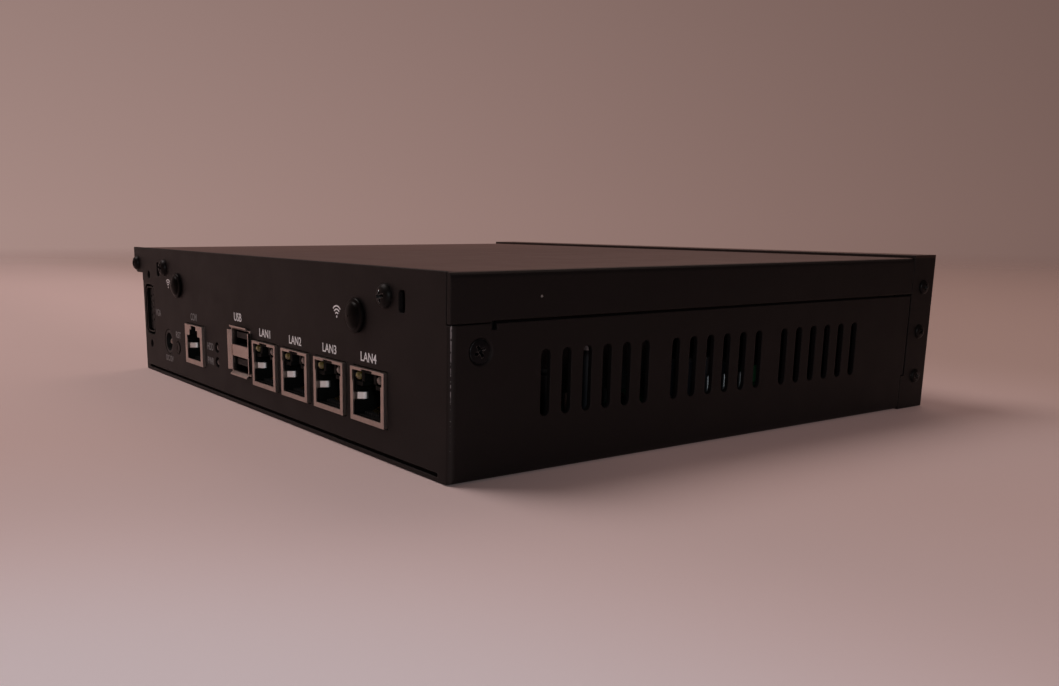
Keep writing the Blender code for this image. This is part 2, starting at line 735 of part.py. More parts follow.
def build_usb():
    """A stacked pair of type-A sockets: a flared plated shell round one insulator."""
    at = (USB_X, FRONT - USB_PROUD, USB_Z)
    bm = bmesh.new()
    add_prism(bm, rectangle(*USB_SHELL), 0.6 * MM, 16.5 * MM)
    shell = mesh_object("usb_shell", bm, at, nickel())
    lips = bmesh.new()
    frustum(lips, USB_LIP, 0.0, USB_SHELL, 0.9 * MM)
    combine(shell, "add_usb_lips", lips, "UNION")
    bore = (USB_SHELL[0] - 0.8 * MM, USB_SHELL[1] - 0.8 * MM)
    flare = bmesh.new()
    mouth = (USB_LIP[0] - 0.9 * MM, USB_LIP[1] - 0.9 * MM)
    wider = (mouth[0] + 0.2 * MM, mouth[1] + 0.2 * MM)
    frustum(flare, wider, -0.1 * MM, bore, 0.95 * MM)
    combine(shell, "cut_usb_flare", flare)
    pocket = bmesh.new()
    add_prism(pocket, rectangle(*bore), 0.8 * MM, 20 * MM)
    combine(shell, "cut_usb_pocket", pocket)
    band = bmesh.new()
    reach = USB_SHELL[0] / 2 - 0.2 * MM
    add_box(band, (-reach, 0.75 * MM, -1.7 * MM), (reach, 1.15 * MM, 1.7 * MM))
    combine(shell, "add_usb_band", band, "UNION")
    corners = bmesh.new()
    for side_x in (-1, 1):
        for side_z in (-1, 1):
            across = sorted((side_x * (USB_SHELL[0] / 2 - 0.9 * MM), side_x * 9 * MM))
            up = sorted((side_z * (USB_SHELL[1] / 2 - 0.7 * MM), side_z * 9 * MM))
            add_box(corners, (across[0], -MM, up[0]), (across[1], MM, up[1]))
    combine(shell, "cut_usb_corners", corners)
    block = bmesh.new()
    add_prism(block, rectangle(bore[0] - 0.6 * MM, bore[1] - 0.6 * MM), 11 * MM, 16 * MM)
    insulator = mesh_object("usb_insulator", block, at, black_plastic())
    tongues = bmesh.new()
    for side in (-1, 1):
        low = (-5.6 * MM, 2.2 * MM, side * 4.05 * MM - 0.4 * MM)
        add_box(tongues, low, (5.6 * MM, 12 * MM, side * 4.05 * MM + 1.4 * MM))
    combine(insulator, "add_usb_tongues", tongues, "UNION")
    floor = bmesh.new()
    add_box(floor, (-bore[0] / 2 + GAP, 1.5 * MM, -1.5 * MM), (bore[0] / 2 - GAP, 12 * MM, 1.5 * MM))
    combine(insulator, "add_usb_floor", floor, "UNION")


def build_vga():
    """A fifteen-way D connector fixed upright behind the port wall, its shell level with the wall."""
    at = (VGA_X, FRONT, VGA_Z)
    bm = bmesh.new()
    add_prism(bm, rounded_rectangle(8.4 * MM, 16.4 * MM, 2.0 * MM), 0.15 * MM, 6.5 * MM)
    shell = mesh_object("vga_shell", bm, at, dark_shell())
    flange = bmesh.new()
    plate = rounded_rectangle(12.2 * MM, 30.8 * MM, 1.0 * MM, steps=1)
    add_prism(flange, plate, SHEET + GAP, SHEET + GAP + 0.9 * MM)
    combine(shell, "add_vga_flange", flange, "UNION")
    bore = bmesh.new()
    add_prism(bore, rounded_rectangle(7.6 * MM, 15.6 * MM, 1.7 * MM), -MM, 8 * MM)
    combine(shell, "cut_vga_bore", bore)
    holes = bmesh.new()
    for side in (-1, 1):
        add_prism(holes, circle(1.3 * MM, 12, (0.0, side * VGA_SCREW_SPACING / 2)), 0.0, 8 * MM)
    combine(shell, "cut_vga_holes", holes)
    block = bmesh.new()
    add_prism(block, rounded_rectangle(7.0 * MM, 15.0 * MM, 1.5 * MM), 1.2 * MM, 11 * MM)
    insert = mesh_object("vga_insert", block, at, black_plastic())
    sockets = bmesh.new()
    for column in range(3):
        for row in range(5):
            middle = ((column - 1) * 1.98 * MM, (row - 2) * 2.29 * MM + (column % 2) * 0.7 * MM)
            add_prism(sockets, circle(0.5 * MM, 6, middle), 0.0, 5 * MM)
    combine(insert, "cut_vga_sockets", sockets)


def build_dc_jack():
    """The supply socket: a moulded barrel with its centre pin."""
    at = (DC_X, FRONT, DC_Z)
    bm = bmesh.new()
    add_prism(bm, circle(DC_RADIUS, 24), 0.1 * MM, 5 * MM)
    body = mesh_object("dc_jack_body", bm, at, black_plastic(), smooth=True)
    housing = bmesh.new()
    low = (-4.6 * MM, SHEET + GAP, BOARD_Z[1] + GAP - DC_Z)
    add_box(housing, low, (4.6 * MM, 14 * MM, 5.4 * MM))
    combine(body, "add_dc_housing", housing, "UNION")
    bore = bmesh.new()
    add_prism(bore, circle(3.2 * MM, 24), -MM, 10.5 * MM)
    combine(body, "cut_dc_bore", bore)
    pin = bmesh.new()
    profile = [(0.0, 0.0), (1.05 * MM, 0.0), (1.05 * MM, 9.0 * MM), (0.7 * MM, 9.6 * MM), (0.0, 9.6 * MM)]
    add_turned(pin, profile, 14)
    pin_at = (DC_X, FRONT + 10.2 * MM, DC_Z)
    centre = mesh_object("dc_jack_pin", pin, pin_at, nickel(), smooth=True)
    centre.rotation_euler = (math.pi / 2, 0.0, 0.0)


def build_button():
    """The recessed push button and the tact switch that it presses."""
    back = SHEET + GAP
    bm = bmesh.new()
    profile = [
        (0.0, -back - 0.8 * MM),
        (2.8 * MM, -back - 0.8 * MM),
        (2.8 * MM, -back),
        (BUTTON_RADIUS, -back),
        (BUTTON_RADIUS, -0.05 * MM),
        (BUTTON_RADIUS - 0.3 * MM, 0.2 * MM),
        (0.0, 0.2 * MM),
    ]
    add_turned(bm, profile, 20)
    cap = mesh_object("button_cap", bm, (BUTTON_X, FRONT, BUTTON_Z), gloss_plastic(), smooth=True)
    cap.rotation_euler = (math.pi / 2, 0.0, 0.0)
    front = back + 0.8 * MM + BUTTON_TRAVEL + 0.2 * MM
    body = bmesh.new()
    add_box(body, (-3 * MM, front, BOARD_Z[1] + GAP - BUTTON_Z), (3 * MM, front + 3.6 * MM, 3 * MM))
    bevel_edges(body, lambda a, b: near(a.y, front) and near(b.y, front), 0.3 * MM, 1)
    mesh_object("switch_body", body, (BUTTON_X, FRONT, BUTTON_Z), black_plastic())


def build_lights():
    """Two round indicator lamps behind the port wall."""
    for name, z in zip(("storage_light", "power_light"), LIGHT_Z):
        bm = bmesh.new()
        profile = [
            (0.0, -5.2 * MM),
            (1.8 * MM, -5.2 * MM),
            (1.8 * MM, -4.2 * MM),
            (1.45 * MM, -4.2 * MM),
            (1.45 * MM, -0.9 * MM),
            (1.0 * MM, -0.3 * MM),
            (0.0, -0.05 * MM),
        ]
        add_turned(bm, profile, 16)
        lamp = mesh_object(name, bm, (LIGHT_X, FRONT, z), clear_lens(), smooth=True)
        lamp.rotation_euler = (math.pi / 2, 0.0, 0.0)


def build_antenna_plugs():
    """Domed snap-in plugs that close the two antenna holes."""
    for index, side in enumerate((-1, 1)):
        bm = bmesh.new()
        neck = PLUG_RADIUS - 1.2 * MM
        profile = [
            (0.0, -3.4 * MM),
            (neck - 0.4 * MM, -3.4 * MM),
            (neck + 0.7 * MM, -1.9 * MM),
            (neck + 0.7 * MM, -1.5 * MM),
            (neck, -1.5 * MM),
            (neck, 0.2 * MM),
            (PLUG_RADIUS, 0.2 * MM),
            (PLUG_RADIUS, 0.8 * MM),
            (0.93 * PLUG_RADIUS, 1.1 * MM),
            (0.8 * PLUG_RADIUS, 1.2 * MM),
            (0.62 * PLUG_RADIUS, 1.9 * MM),
            (0.3 * PLUG_RADIUS, 2.25 * MM),
            (0.0, 2.3 * MM),
        ]
        add_turned(bm, profile, 24)
        at = (side * PLUG_X, FRONT, PLUG_Z)
        plug = mesh_object(f"antenna_plug_{index + 1}", bm, at, gloss_plastic(), smooth=True)
        plug.rotation_euler = (math.pi / 2, 0.0, 0.0)


def build_heatsink():
    """The processor's finned heatsink, extruded along Y."""
    fins, pitch, half, base, top = 13, 4.6 * MM, 29 * MM, 4 * MM, 22 * MM
    outline = [(-half, 0.0), (half, 0.0)]
    for i in reversed(range(fins)):
        x = (i - (fins - 1) / 2) * pitch
        outline += [(x + 0.6 * MM, base), (x + 0.6 * MM, top), (x - 0.6 * MM, top), (x - 0.6 * MM, base)]
    outline.insert(2, (half, base))
    outline.append((-half, base))
    bm = bmesh.new()
    add_prism(bm, outline, -27 * MM, 27 * MM)
    mesh_object("heatsink", bm, (34 * MM, -12 * MM, BOARD_Z[1] + GAP), bare_aluminium())


def build_card(name, at, size, chips, mat):
    """A plug-in circuit card with its chips on top, sitting flat in its socket."""
    length, width = size
    bm = bmesh.new()
    add_box(bm, (-length / 2, -width / 2, 3.4 * MM), (length / 2, width / 2, 4.4 * MM))
    card = mesh_object(name, bm, at, mat)
    raised = bmesh.new()
    pitch = length / chips
    for i in range(chips):
        x = (i - (chips - 1) / 2) * pitch
        low = (x - 0.36 * pitch, -0.28 * width, 4.2 * MM)
        add_box(raised, low, (x + 0.36 * pitch, 0.28 * width, 5.4 * MM))
    combine(card, f"add_{name}_chips", raised, "UNION")
    socket = bmesh.new()
    reach = length / 2 + 1.5 * MM
    add_box(socket, (-reach, width / 2 - 4 * MM, 0.0), (reach, width / 2 + 2 * MM, 5 * MM))
    combine(card, f"add_{name}_socket", socket, "UNION")


def build_coin_cell():
    bm = bmesh.new()
    profile = [(0.0, 0.0), (10.0 * MM, 0.0), (10.0 * MM, 2.9 * MM), (9.2 * MM, 3.2 * MM), (0.0, 3.2 * MM)]
    add_turned(bm, profile, 28)
    mesh_object("coin_cell", bm, (-66 * MM, -28 * MM, BOARD_Z[1] + GAP), zinc(), smooth=True)


def build_capacitor(index, at):
    """An upright electrolytic capacitor with its crimped neck."""
    bm = bmesh.new()
    profile = [
        (0.0, 0.0),
        (4.0 * MM, 0.0),
        (4.0 * MM, 1.4 * MM),
        (3.6 * MM, 1.8 * MM),
        (4.0 * MM, 2.2 * MM),
        (4.0 * MM, 11.2 * MM),
        (3.6 * MM, 11.6 * MM),
        (0.0, 11.6 * MM),
    ]
    add_turned(bm, profile, 20)
    mesh_object(f"capacitor_{index}", bm, (*at, BOARD_Z[1] + GAP), bare_aluminium(), smooth=True)


def build_board_parts():
    build_heatsink()
    build_card("memory_card", (-38 * MM, 22 * MM, BOARD_Z[1] + GAP), (67 * MM, 28 * MM), 4, board_green())
    build_card("storage_card", (48 * MM, 34 * MM, BOARD_Z[1] + GAP), (50 * MM, 14 * MM), 2, board_green())
    build_coin_cell()
    for index, at in enumerate(((84 * MM, -48 * MM), (84 * MM, -2 * MM), (84 * MM, 8 * MM))):
        build_capacitor(index + 1, at)


def main():
    clear_scene()
    build_chassis()
    build_top_cover()
    build_front_bezel()
    build_mainboard()
    for index, hole in enumerate(BOARD_HOLES):
        build_standoff(index + 1, hole)
    build_screws()
    build_jacks()
    build_usb()
    build_vga()
    build_dc_jack()
    build_button()
    build_lights()
    build_antenna_plugs()
    build_board_parts()


main()
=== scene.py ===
"""Looks for the firewall appliance: finishes, printed marks, contacts, screws and board detail."""

import math
import random

import bmesh
import bpy
from mathutils import Matrix, Vector


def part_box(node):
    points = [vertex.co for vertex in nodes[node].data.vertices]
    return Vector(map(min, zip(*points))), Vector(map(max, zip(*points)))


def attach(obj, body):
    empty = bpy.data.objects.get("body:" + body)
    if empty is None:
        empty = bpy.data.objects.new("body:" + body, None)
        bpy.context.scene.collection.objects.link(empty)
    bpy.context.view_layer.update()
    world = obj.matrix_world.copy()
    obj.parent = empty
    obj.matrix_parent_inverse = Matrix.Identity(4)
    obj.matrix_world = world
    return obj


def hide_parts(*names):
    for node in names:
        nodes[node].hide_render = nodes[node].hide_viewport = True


MM = 0.001
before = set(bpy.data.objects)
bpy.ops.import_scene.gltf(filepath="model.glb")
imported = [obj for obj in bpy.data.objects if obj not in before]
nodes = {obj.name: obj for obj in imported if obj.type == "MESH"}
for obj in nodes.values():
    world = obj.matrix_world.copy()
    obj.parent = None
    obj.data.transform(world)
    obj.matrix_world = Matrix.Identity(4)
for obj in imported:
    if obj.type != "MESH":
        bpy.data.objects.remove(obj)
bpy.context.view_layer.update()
scene = bpy.context.scene

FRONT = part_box("chassis")[0].y
CASE_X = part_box("front_bezel")[1].x
SEAM_Z = 33.8 * MM
COAT = (0.0066, 0.0058, 0.0061)
SPECK_AT = (18.65 * MM, 38.7 * MM)  # from the +X side screw's low y, and z
MODULAR_JACKS = ("lan1", "lan2", "lan3", "lan4", "com")
NETWORK_JACKS = 4
WIRE_PITCH = 1.02 * MM
BRIGHT_SCREWS = ("wall_screw_2", "bezel_screw_4")

CAMERA_AT = (0.263049, -0.199032, 0.054300)
CAMERA_TURN = (1.370417, -0.004416, 0.988018)
CAMERA_LENS = 33.284
CAMERA_SHIFT = (0.09395, 0.07273)

FLOOR_COLOR = (0.80, 0.63, 0.60)
# Painted light and shade on the floor: a darker, warmer far side and a paler pool of light near the camera.
FLOOR_SHADE_COLOR = (0.57, 0.43, 0.38)
FLOOR_LIGHT_POOL_COLOR = (0.93, 0.87, 0.91)
FLOOR_LIGHT_POOL_AT = (0.24, -0.24, 0.0)
WARM_GLOW = (1.0, 0.58, 0.54, 1.0)
COOL_GLOW = (0.78, 0.84, 0.95, 1.0)
BRIGHT_POLE = (-0.85, -0.52, 0.0)


# ---------------------------------------------------------------- materials


class Look:
    """A node material round one Principled shader. Lengths are metres in the piece's own space."""

    def __init__(self, name, color, roughness, metallic=0.0, specular=0.5):
        self.material = bpy.data.materials.new(name)
        self.material.use_nodes = True
        tree = self.material.node_tree
        self.nodes, self.links = tree.nodes, tree.links
        self.nodes.clear()
        self.shader = self.add(
            "ShaderNodeBsdfPrincipled",
            {
                "Base Color": (*color, 1.0),
                "Roughness": roughness,
                "Metallic": metallic,
                "Specular IOR Level": specular,
            },
        )
        output = self.nodes.new("ShaderNodeOutputMaterial")
        self.links.new(self.shader.outputs["BSDF"], output.inputs["Surface"])
        self.place = self.nodes.new("ShaderNodeTexCoord").outputs["Object"]
        self.normal = None
        self.color = (*color, 1.0)
        self.roughness = roughness

    def put(self, socket, value):
        if isinstance(value, bpy.types.NodeSocket):
            self.links.new(value, socket)
        else:
            socket.default_value = value

    def add(self, kind, inputs=None, **settings):
        node = self.nodes.new(kind)
        for key, value in settings.items():
            setattr(node, key, value)
        for key, value in (inputs or {}).items():
            self.put(node.inputs[key], value)
        return node

    def math(self, operation, a, b=0.0):
        return self.add("ShaderNodeMath", {0: a, 1: b}, operation=operation).outputs[0]

    def vector(self, operation, a, b=(0.0, 0.0, 0.0)):
        return self.add("ShaderNodeVectorMath", {0: a, 1: b}, operation=operation)

    def noise(self, size, detail=2.0, roughness=0.5, stretch=(1.0, 1.0, 1.0), offset=0.0):
        """Noise from 0 to 1 whose features are about size metres across, times stretch on each axis."""
        scale = [1.0 / (size * s) for s in stretch]
        moved = self.add(
            "ShaderNodeMapping",
            {"Vector": self.place, "Scale": scale, "Location": (offset, offset * 0.7, offset * 1.3)},
        )
        found = self.add(
            "ShaderNodeTexNoise",
            {"Vector": moved.outputs[0], "Scale": 1.0, "Detail": detail, "Roughness": roughness},
        )
        return found.outputs["Fac"]

    def cells(self, size):
        """Distance from the middle of random cells about size metres across."""
        moved = self.add("ShaderNodeMapping", {"Vector": self.place, "Scale": [1.0 / size] * 3})
        inputs = {"Vector": moved.outputs[0], "Scale": 1.0, "Randomness": 1.0}
        return self.add("ShaderNodeTexVoronoi", inputs).outputs["Distance"]

    def spread(self, value, low, high, to_low=0.0, to_high=1.0, smooth=False):
        """Maps low..high to to_low..to_high and holds it there beyond both ends."""
        found = self.add(
            "ShaderNodeMapRange",
            {"Value": value, "From Min": low, "From Max": high, "To Min": to_low, "To Max": to_high},
            clamp=True,
            interpolation_type="SMOOTHSTEP" if smooth else "LINEAR",
        )
        return found.outputs[0]

    def axes(self):
        found = self.add("ShaderNodeSeparateXYZ", {0: self.place})
        return found.outputs[0], found.outputs[1], found.outputs[2]

    def tint(self, factor, color):
        """Mixes color over what the base colour is so far."""
        mix = self.add("ShaderNodeMix", data_type="RGBA")
        self.put(mix.inputs[0], factor)
        self.put(mix.inputs[6], self.color)
        self.put(mix.inputs[7], (*color, 1.0) if isinstance(color, tuple) else color)
        self.color = mix.outputs[2]
        self.put(self.shader.inputs["Base Color"], self.color)

    def shade(self, factor, low, high):
        """Multiplies the base colour by low..high as factor goes from 0 to 1."""
        amount = self.spread(factor, 0.0, 1.0, low, high)
        mix = self.add("ShaderNodeMix", data_type="RGBA", blend_type="MULTIPLY")
        self.put(mix.inputs[0], 1.0)
        self.put(mix.inputs[6], self.color)
        self.put(mix.inputs[7], amount)
        self.color = mix.outputs[2]
        self.put(self.shader.inputs["Base Color"], self.color)

    def rough(self, factor, low, high):
        self.roughness = self.spread(factor, 0.0, 1.0, low, high)
        self.put(self.shader.inputs["Roughness"], self.roughness)

    def rough_mix(self, factor, value):
        mix = self.add("ShaderNodeMix", data_type="FLOAT")
        self.put(mix.inputs[0], factor)
        self.put(mix.inputs[2], self.roughness)
        self.put(mix.inputs[3], value)
        self.roughness = mix.outputs[0]
        self.put(self.shader.inputs["Roughness"], self.roughness)

    def paint_recess_shade(self, start, end, left):
        """Painted shade in recesses: darkens the colour to a share left of itself between two depths behind
        the port wall's face.
        """
        depth = self.math("SUBTRACT", self.axes()[1], FRONT)
        self.shade(self.spread(depth, start, end, 1.0, 0.0), left, 1.0)

    def round_edges(self, radius):
        """Softens every sharp edge in the shading."""
        self.normal = self.add("ShaderNodeBevel", {"Radius": radius}, samples=4).outputs[0]
        self.put(self.shader.inputs["Normal"], self.normal)

    def edges(self, radius, low=0.02, high=0.3):
        """1 on sharp edges and 0 on flat faces."""
        rounded = self.add("ShaderNodeBevel", {"Radius": radius}, samples=4).outputs[0]
        flat = self.add("ShaderNodeNewGeometry").outputs["True Normal"]
        dot = self.vector("DOT_PRODUCT", rounded, flat).outputs["Value"]
        return self.spread(self.math("SUBTRACT", 1.0, dot), low, high)

    def bump(self, height, distance):
        inputs = {"Height": height, "Distance": distance, "Strength": 1.0}
        if self.normal is not None:
            inputs["Normal"] = self.normal
        self.normal = self.add("ShaderNodeBump", inputs).outputs[0]
        self.put(self.shader.inputs["Normal"], self.normal)


def powder_coat(name, wear):
    """Fine-textured satin black paint on steel, rubbed a little on its edges."""
    look = Look(name, COAT, 0.5, specular=0.22)
    look.put(look.shader.inputs["Specular Tint"], (1.0, 0.86, 0.80, 1.0))
    cloud = look.noise(60 * MM, 4.0, 0.55)
    patch = look.noise(9 * MM, 3.0, 0.5, offset=3.0)
    look.shade(cloud, 0.86, 1.16)
    look.rough(patch, 0.46, 0.6)
    speck = look.noise(0.55 * MM, 2.0, 0.6, offset=5.0)
    look.tint(look.spread(speck, 0.62, 0.8, 0.0, 0.3), (0.022, 0.020, 0.020))
    rub = look.edges(0.35 * MM)
    broken = look.spread(look.noise(1.6 * MM, 4.0, 0.65), 0.42, 0.62)
    edge_rub = look.math("MULTIPLY", rub, broken)
    look.tint(look.math("MULTIPLY", edge_rub, 0.25), (0.045, 0.041, 0.040))
    look.rough_mix(look.math("MULTIPLY", rub, 0.3), 0.40)
    wear(look)
    look.round_edges(0.45 * MM)
    look.bump(look.noise(0.42 * MM, 2.0, 0.5), 0.011 * MM)
    look.bump(look.noise(0.13 * MM, 1.0, 0.5, offset=2.0), 0.004 * MM)
    return look


def corner_wear(look):
    """The paint worn to the primer down the bend between the port wall and the +X side."""
    x, y, z = look.axes()
    middle_x, middle_y = CASE_X - 0.38 * MM, FRONT + 0.38 * MM
    from_x = look.math("SUBTRACT", x, middle_x)
    from_y = look.math("SUBTRACT", y, middle_y)
    across = look.math("ABSOLUTE", look.math("MULTIPLY", look.math("ADD", from_x, from_y), 0.7071))
    outward = look.math("MULTIPLY", look.math("SUBTRACT", from_x, from_y), 0.7071)
    wander = look.noise(5 * MM, 2.0, 0.5, offset=9.0)
    lower = look.spread(z, 2 * MM, 28 * MM, 0.05 * MM, 0.09 * MM)
    half = look.math("ADD", lower, look.spread(z, 28 * MM, 33 * MM, 0.0, 0.13 * MM))
    half = look.math("MULTIPLY", half, look.spread(wander, 0.3, 0.7, 0.5, 1.5))
    line = look.spread(look.math("DIVIDE", across, half), 0.7, 1.2, 1.0, 0.0)
    here = look.spread(outward, -1.2 * MM, -0.9 * MM)
    chips = look.noise(0.5 * MM, 3.0, 0.7, stretch=(1, 1, 1.6), offset=4.0)
    keep = look.spread(z, 8 * MM, 31 * MM, 0.62, 0.42)
    chipped = look.spread(look.math("SUBTRACT", chips, keep), -0.02, 0.05)
    below = look.spread(z, SEAM_Z - 0.2 * MM, SEAM_Z, 1.0, 0.0)
    above_foot = look.spread(z, 1.5 * MM, 5 * MM)
    mask = look.math("MULTIPLY", line, here)
    mask = look.math("MULTIPLY", mask, chipped)
    mask = look.math("MULTIPLY", mask, look.math("MULTIPLY", below, above_foot))
    look.tint(mask, (0.27, 0.25, 0.26))
    look.rough_mix(mask, 0.55)
    haze = look.spread(across, 0.1 * MM, 0.9 * MM, 1.0, 0.0, smooth=True)
    haze = look.math("MULTIPLY", look.math("MULTIPLY", haze, here), below)
    look.tint(look.math("MULTIPLY", haze, 0.18), (0.06, 0.054, 0.053))


def dust_and_sheen_top(look):
    """Fine dust on faces that look up: a few motes, a thin film and a warm sheen at low angles, stronger
    towards -X as a painted brighter reflection on the left.
    """
    up = look.add("ShaderNodeSeparateXYZ", {0: look.add("ShaderNodeNewGeometry").outputs["True Normal"]})
    facing = look.spread(up.outputs[2], 0.8, 0.95)
    motes = look.spread(look.cells(2.6 * MM), 0.05, 0.09, 1.0, 0.0)
    some = look.spread(look.noise(1.7 * MM, 2.0, offset=8.0), 0.55, 0.6)
    motes = look.math("MULTIPLY", look.math("MULTIPLY", motes, some), facing)
    look.tint(look.math("MULTIPLY", motes, 0.5), (0.16, 0.14, 0.13))
    film = look.spread(look.noise(35 * MM, 5.0, 0.6, stretch=(1.0, 2.2, 1.0), offset=1.0), 0.35, 0.7)
    film = look.math("MULTIPLY", film, facing)
    look.tint(look.math("MULTIPLY", film, 0.16), (0.040, 0.032, 0.029))
    look.rough_mix(look.math("MULTIPLY", film, 0.3), 0.44)
    # Painted reflection: the sheen is stronger towards -X, so the left of the top reads brighter.
    across = look.spread(look.axes()[0], -95 * MM, -10 * MM, 0.25, 0.18)
    look.put(look.shader.inputs["Sheen Weight"], look.math("MULTIPLY", facing, across))
    look.put(look.shader.inputs["Sheen Roughness"], 0.5)
    look.put(look.shader.inputs["Sheen Tint"], (1.0, 0.52, 0.42, 1.0))


def rim_dust_and_sheen(look):
    """The bezel's rim above the cover carries the same dust as the top; its sheen is set by height instead, a
    painted warm reflection on every face above 44.2 mm, the rim's lip among them.
    """
    dust_and_sheen_top(look)
    # Painted reflection: sheen on every face above 44.2 mm, so the rim's lip reads lit.
    above = look.spread(look.axes()[2], 44.2 * MM, 44.5 * MM, 0.0, 0.2)
    look.put(look.shader.inputs["Sheen Weight"], above)


def cover_speck(look):
    """One small chip in the paint of the +X flange, near its front screw."""
    at = (CASE_X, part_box("side_screw_2")[0].y + SPECK_AT[0], SPECK_AT[1])
    gap = look.vector("DISTANCE", look.place, at).outputs["Value"]
    edge = look.math("MULTIPLY", look.noise(0.3 * MM, 2.0, offset=2.0), 0.4 * MM)
    near = look.spread(look.math("SUBTRACT", gap, edge), 0.04 * MM, 0.12 * MM, 1.0, 0.0)
    look.tint(near, (0.26, 0.23, 0.22))
    dust_and_sheen_top(look)


def plated(name, color, roughness=0.3, brushed=(1.0, 1.0, 9.0), tarnish=0.35, recess_shade_left=None):
    """Bright plated sheet with drawing lines, faint scratches and duller patches."""
    look = Look(name, color, roughness, metallic=1.0)
    lines = look.noise(0.09 * MM, 3.0, 0.6, stretch=brushed)
    patch = look.noise(3.0 * MM, 4.0, 0.6, offset=4.0)
    look.rough(look.math("MULTIPLY", look.math("ADD", lines, patch), 0.5), roughness - 0.08, roughness + 0.14)
    look.tint(look.spread(patch, 0.45, 0.75, 0.0, tarnish), tuple(c * 0.55 for c in color))
    worn = look.math("MULTIPLY", look.edges(0.2 * MM), 0.6)
    look.tint(worn, tuple(min(1.0, c * 1.25) for c in color))
    look.round_edges(0.16 * MM)
    look.bump(lines, 0.0025 * MM)
    scratch = look.noise(0.3 * MM, 1.0, 0.5, stretch=(14.0, 14.0, 0.6), offset=7.0)
    look.bump(look.spread(scratch, 0.66, 0.72), 0.003 * MM)
    # Painted shade: the colour darkens with depth inside the jack openings.
    if recess_shade_left is not None:
        look.paint_recess_shade(0.1 * MM, 1.6 * MM, recess_shade_left)
    return look


def moulded(name, color, roughness, grain=0.006, edge=0.12, specular=0.4):
    """Moulded plastic with a fine matt grain and paler rubbed edges."""
    look = Look(name, color, roughness, specular=specular)
    patch = look.noise(4 * MM, 3.0)
    look.shade(patch, 0.85, 1.2)
    look.rough(look.noise(1.2 * MM, 3.0, offset=2.0), roughness - 0.06, roughness + 0.1)
    rub = look.edges(0.15 * MM)
    look.tint(look.math("MULTIPLY", rub, edge), tuple(min(1.0, c * 3.0 + 0.03) for c in color))
    look.round_edges(0.12 * MM)
    look.bump(look.noise(0.11 * MM, 2.0), grain * MM)
    return look


def lens(name, color, painted_glow):
    """A tinted light pipe, a little cloudy, that lets some light through; its middle is painted lighter, a
    painted glow.
    """
    look = Look(name, color, 0.22)
    within = look.add("ShaderNodeTexCoord").outputs["Generated"]
    apart = look.vector("SUBTRACT", within, (0.42, 0.5, 0.56)).outputs[0]
    flat = look.vector("MULTIPLY", apart, (1.0, 0.0, 1.0)).outputs[0]
    off = look.vector("LENGTH", flat).outputs["Value"]
    core = look.math("ADD", off, look.math("MULTIPLY", look.noise(0.7 * MM, 2.0), 0.18))
    # Painted glow: the colour turns lighter towards the middle of the pipe.
    look.tint(look.spread(core, 0.12, 0.42, 1.0, 0.0), painted_glow)
    look.put(look.shader.inputs["Subsurface Weight"], 0.45)
    look.put(look.shader.inputs["Subsurface Radius"], (1.0, 0.9, 0.7))
    look.put(look.shader.inputs["Subsurface Scale"], 0.6 * MM)
    look.put(look.shader.inputs["Coat Weight"], 0.5)
    look.put(look.shader.inputs["Coat Roughness"], 0.08)
    look.round_edges(0.2 * MM)
    look.bump(look.noise(0.5 * MM, 2.0, offset=3.0), 0.01 * MM)
    return look


def print_ink(name, level):
    """Pale printed marks, thin in places, so that the paint shows through."""
    look = Look(name, (0.95 * level, 0.98 * level, level), 0.6, specular=0.3)
    thin = look.spread(look.noise(0.28 * MM, 3.0, 0.7), 0.52, 0.70)
    look.tint(look.math("MULTIPLY", thin, 0.32), (0.2 * level, 0.19 * level, 0.19 * level))
    look.shade(look.noise(2.5 * MM, 2.0, offset=3.0), 0.85, 1.1)
    look.bump(look.noise(0.1 * MM, 2.0), 0.003 * MM)
    return look


def dark_steel(name, color=(0.006, 0.005, 0.005), roughness=0.36, shine=0.10):
    """Black oxide on steel, bright where a driver or a thumb has worn it."""
    look = Look(name, color, roughness, metallic=0.2, specular=0.14)
    patch = look.noise(1.1 * MM, 4.0, 0.65)
    look.rough(patch, roughness - 0.1, roughness + 0.16)
    look.shade(look.noise(0.7 * MM, 3.0, offset=5.0), 0.7, 1.35)
    worn = look.math("MULTIPLY", look.edges(0.2 * MM), look.spread(patch, 0.46, 0.6))
    worn = look.math("MULTIPLY", worn, shine)
    look.rough_mix(worn, 0.2)
    look.tint(worn, (0.75, 0.72, 0.70))
    look.put(look.shader.inputs["Metallic"], look.spread(worn, 0.0, 0.4, 0.2, 1.0))
    look.round_edges(0.1 * MM)
    look.bump(look.noise(0.08 * MM, 2.0), 0.003 * MM)
    return look


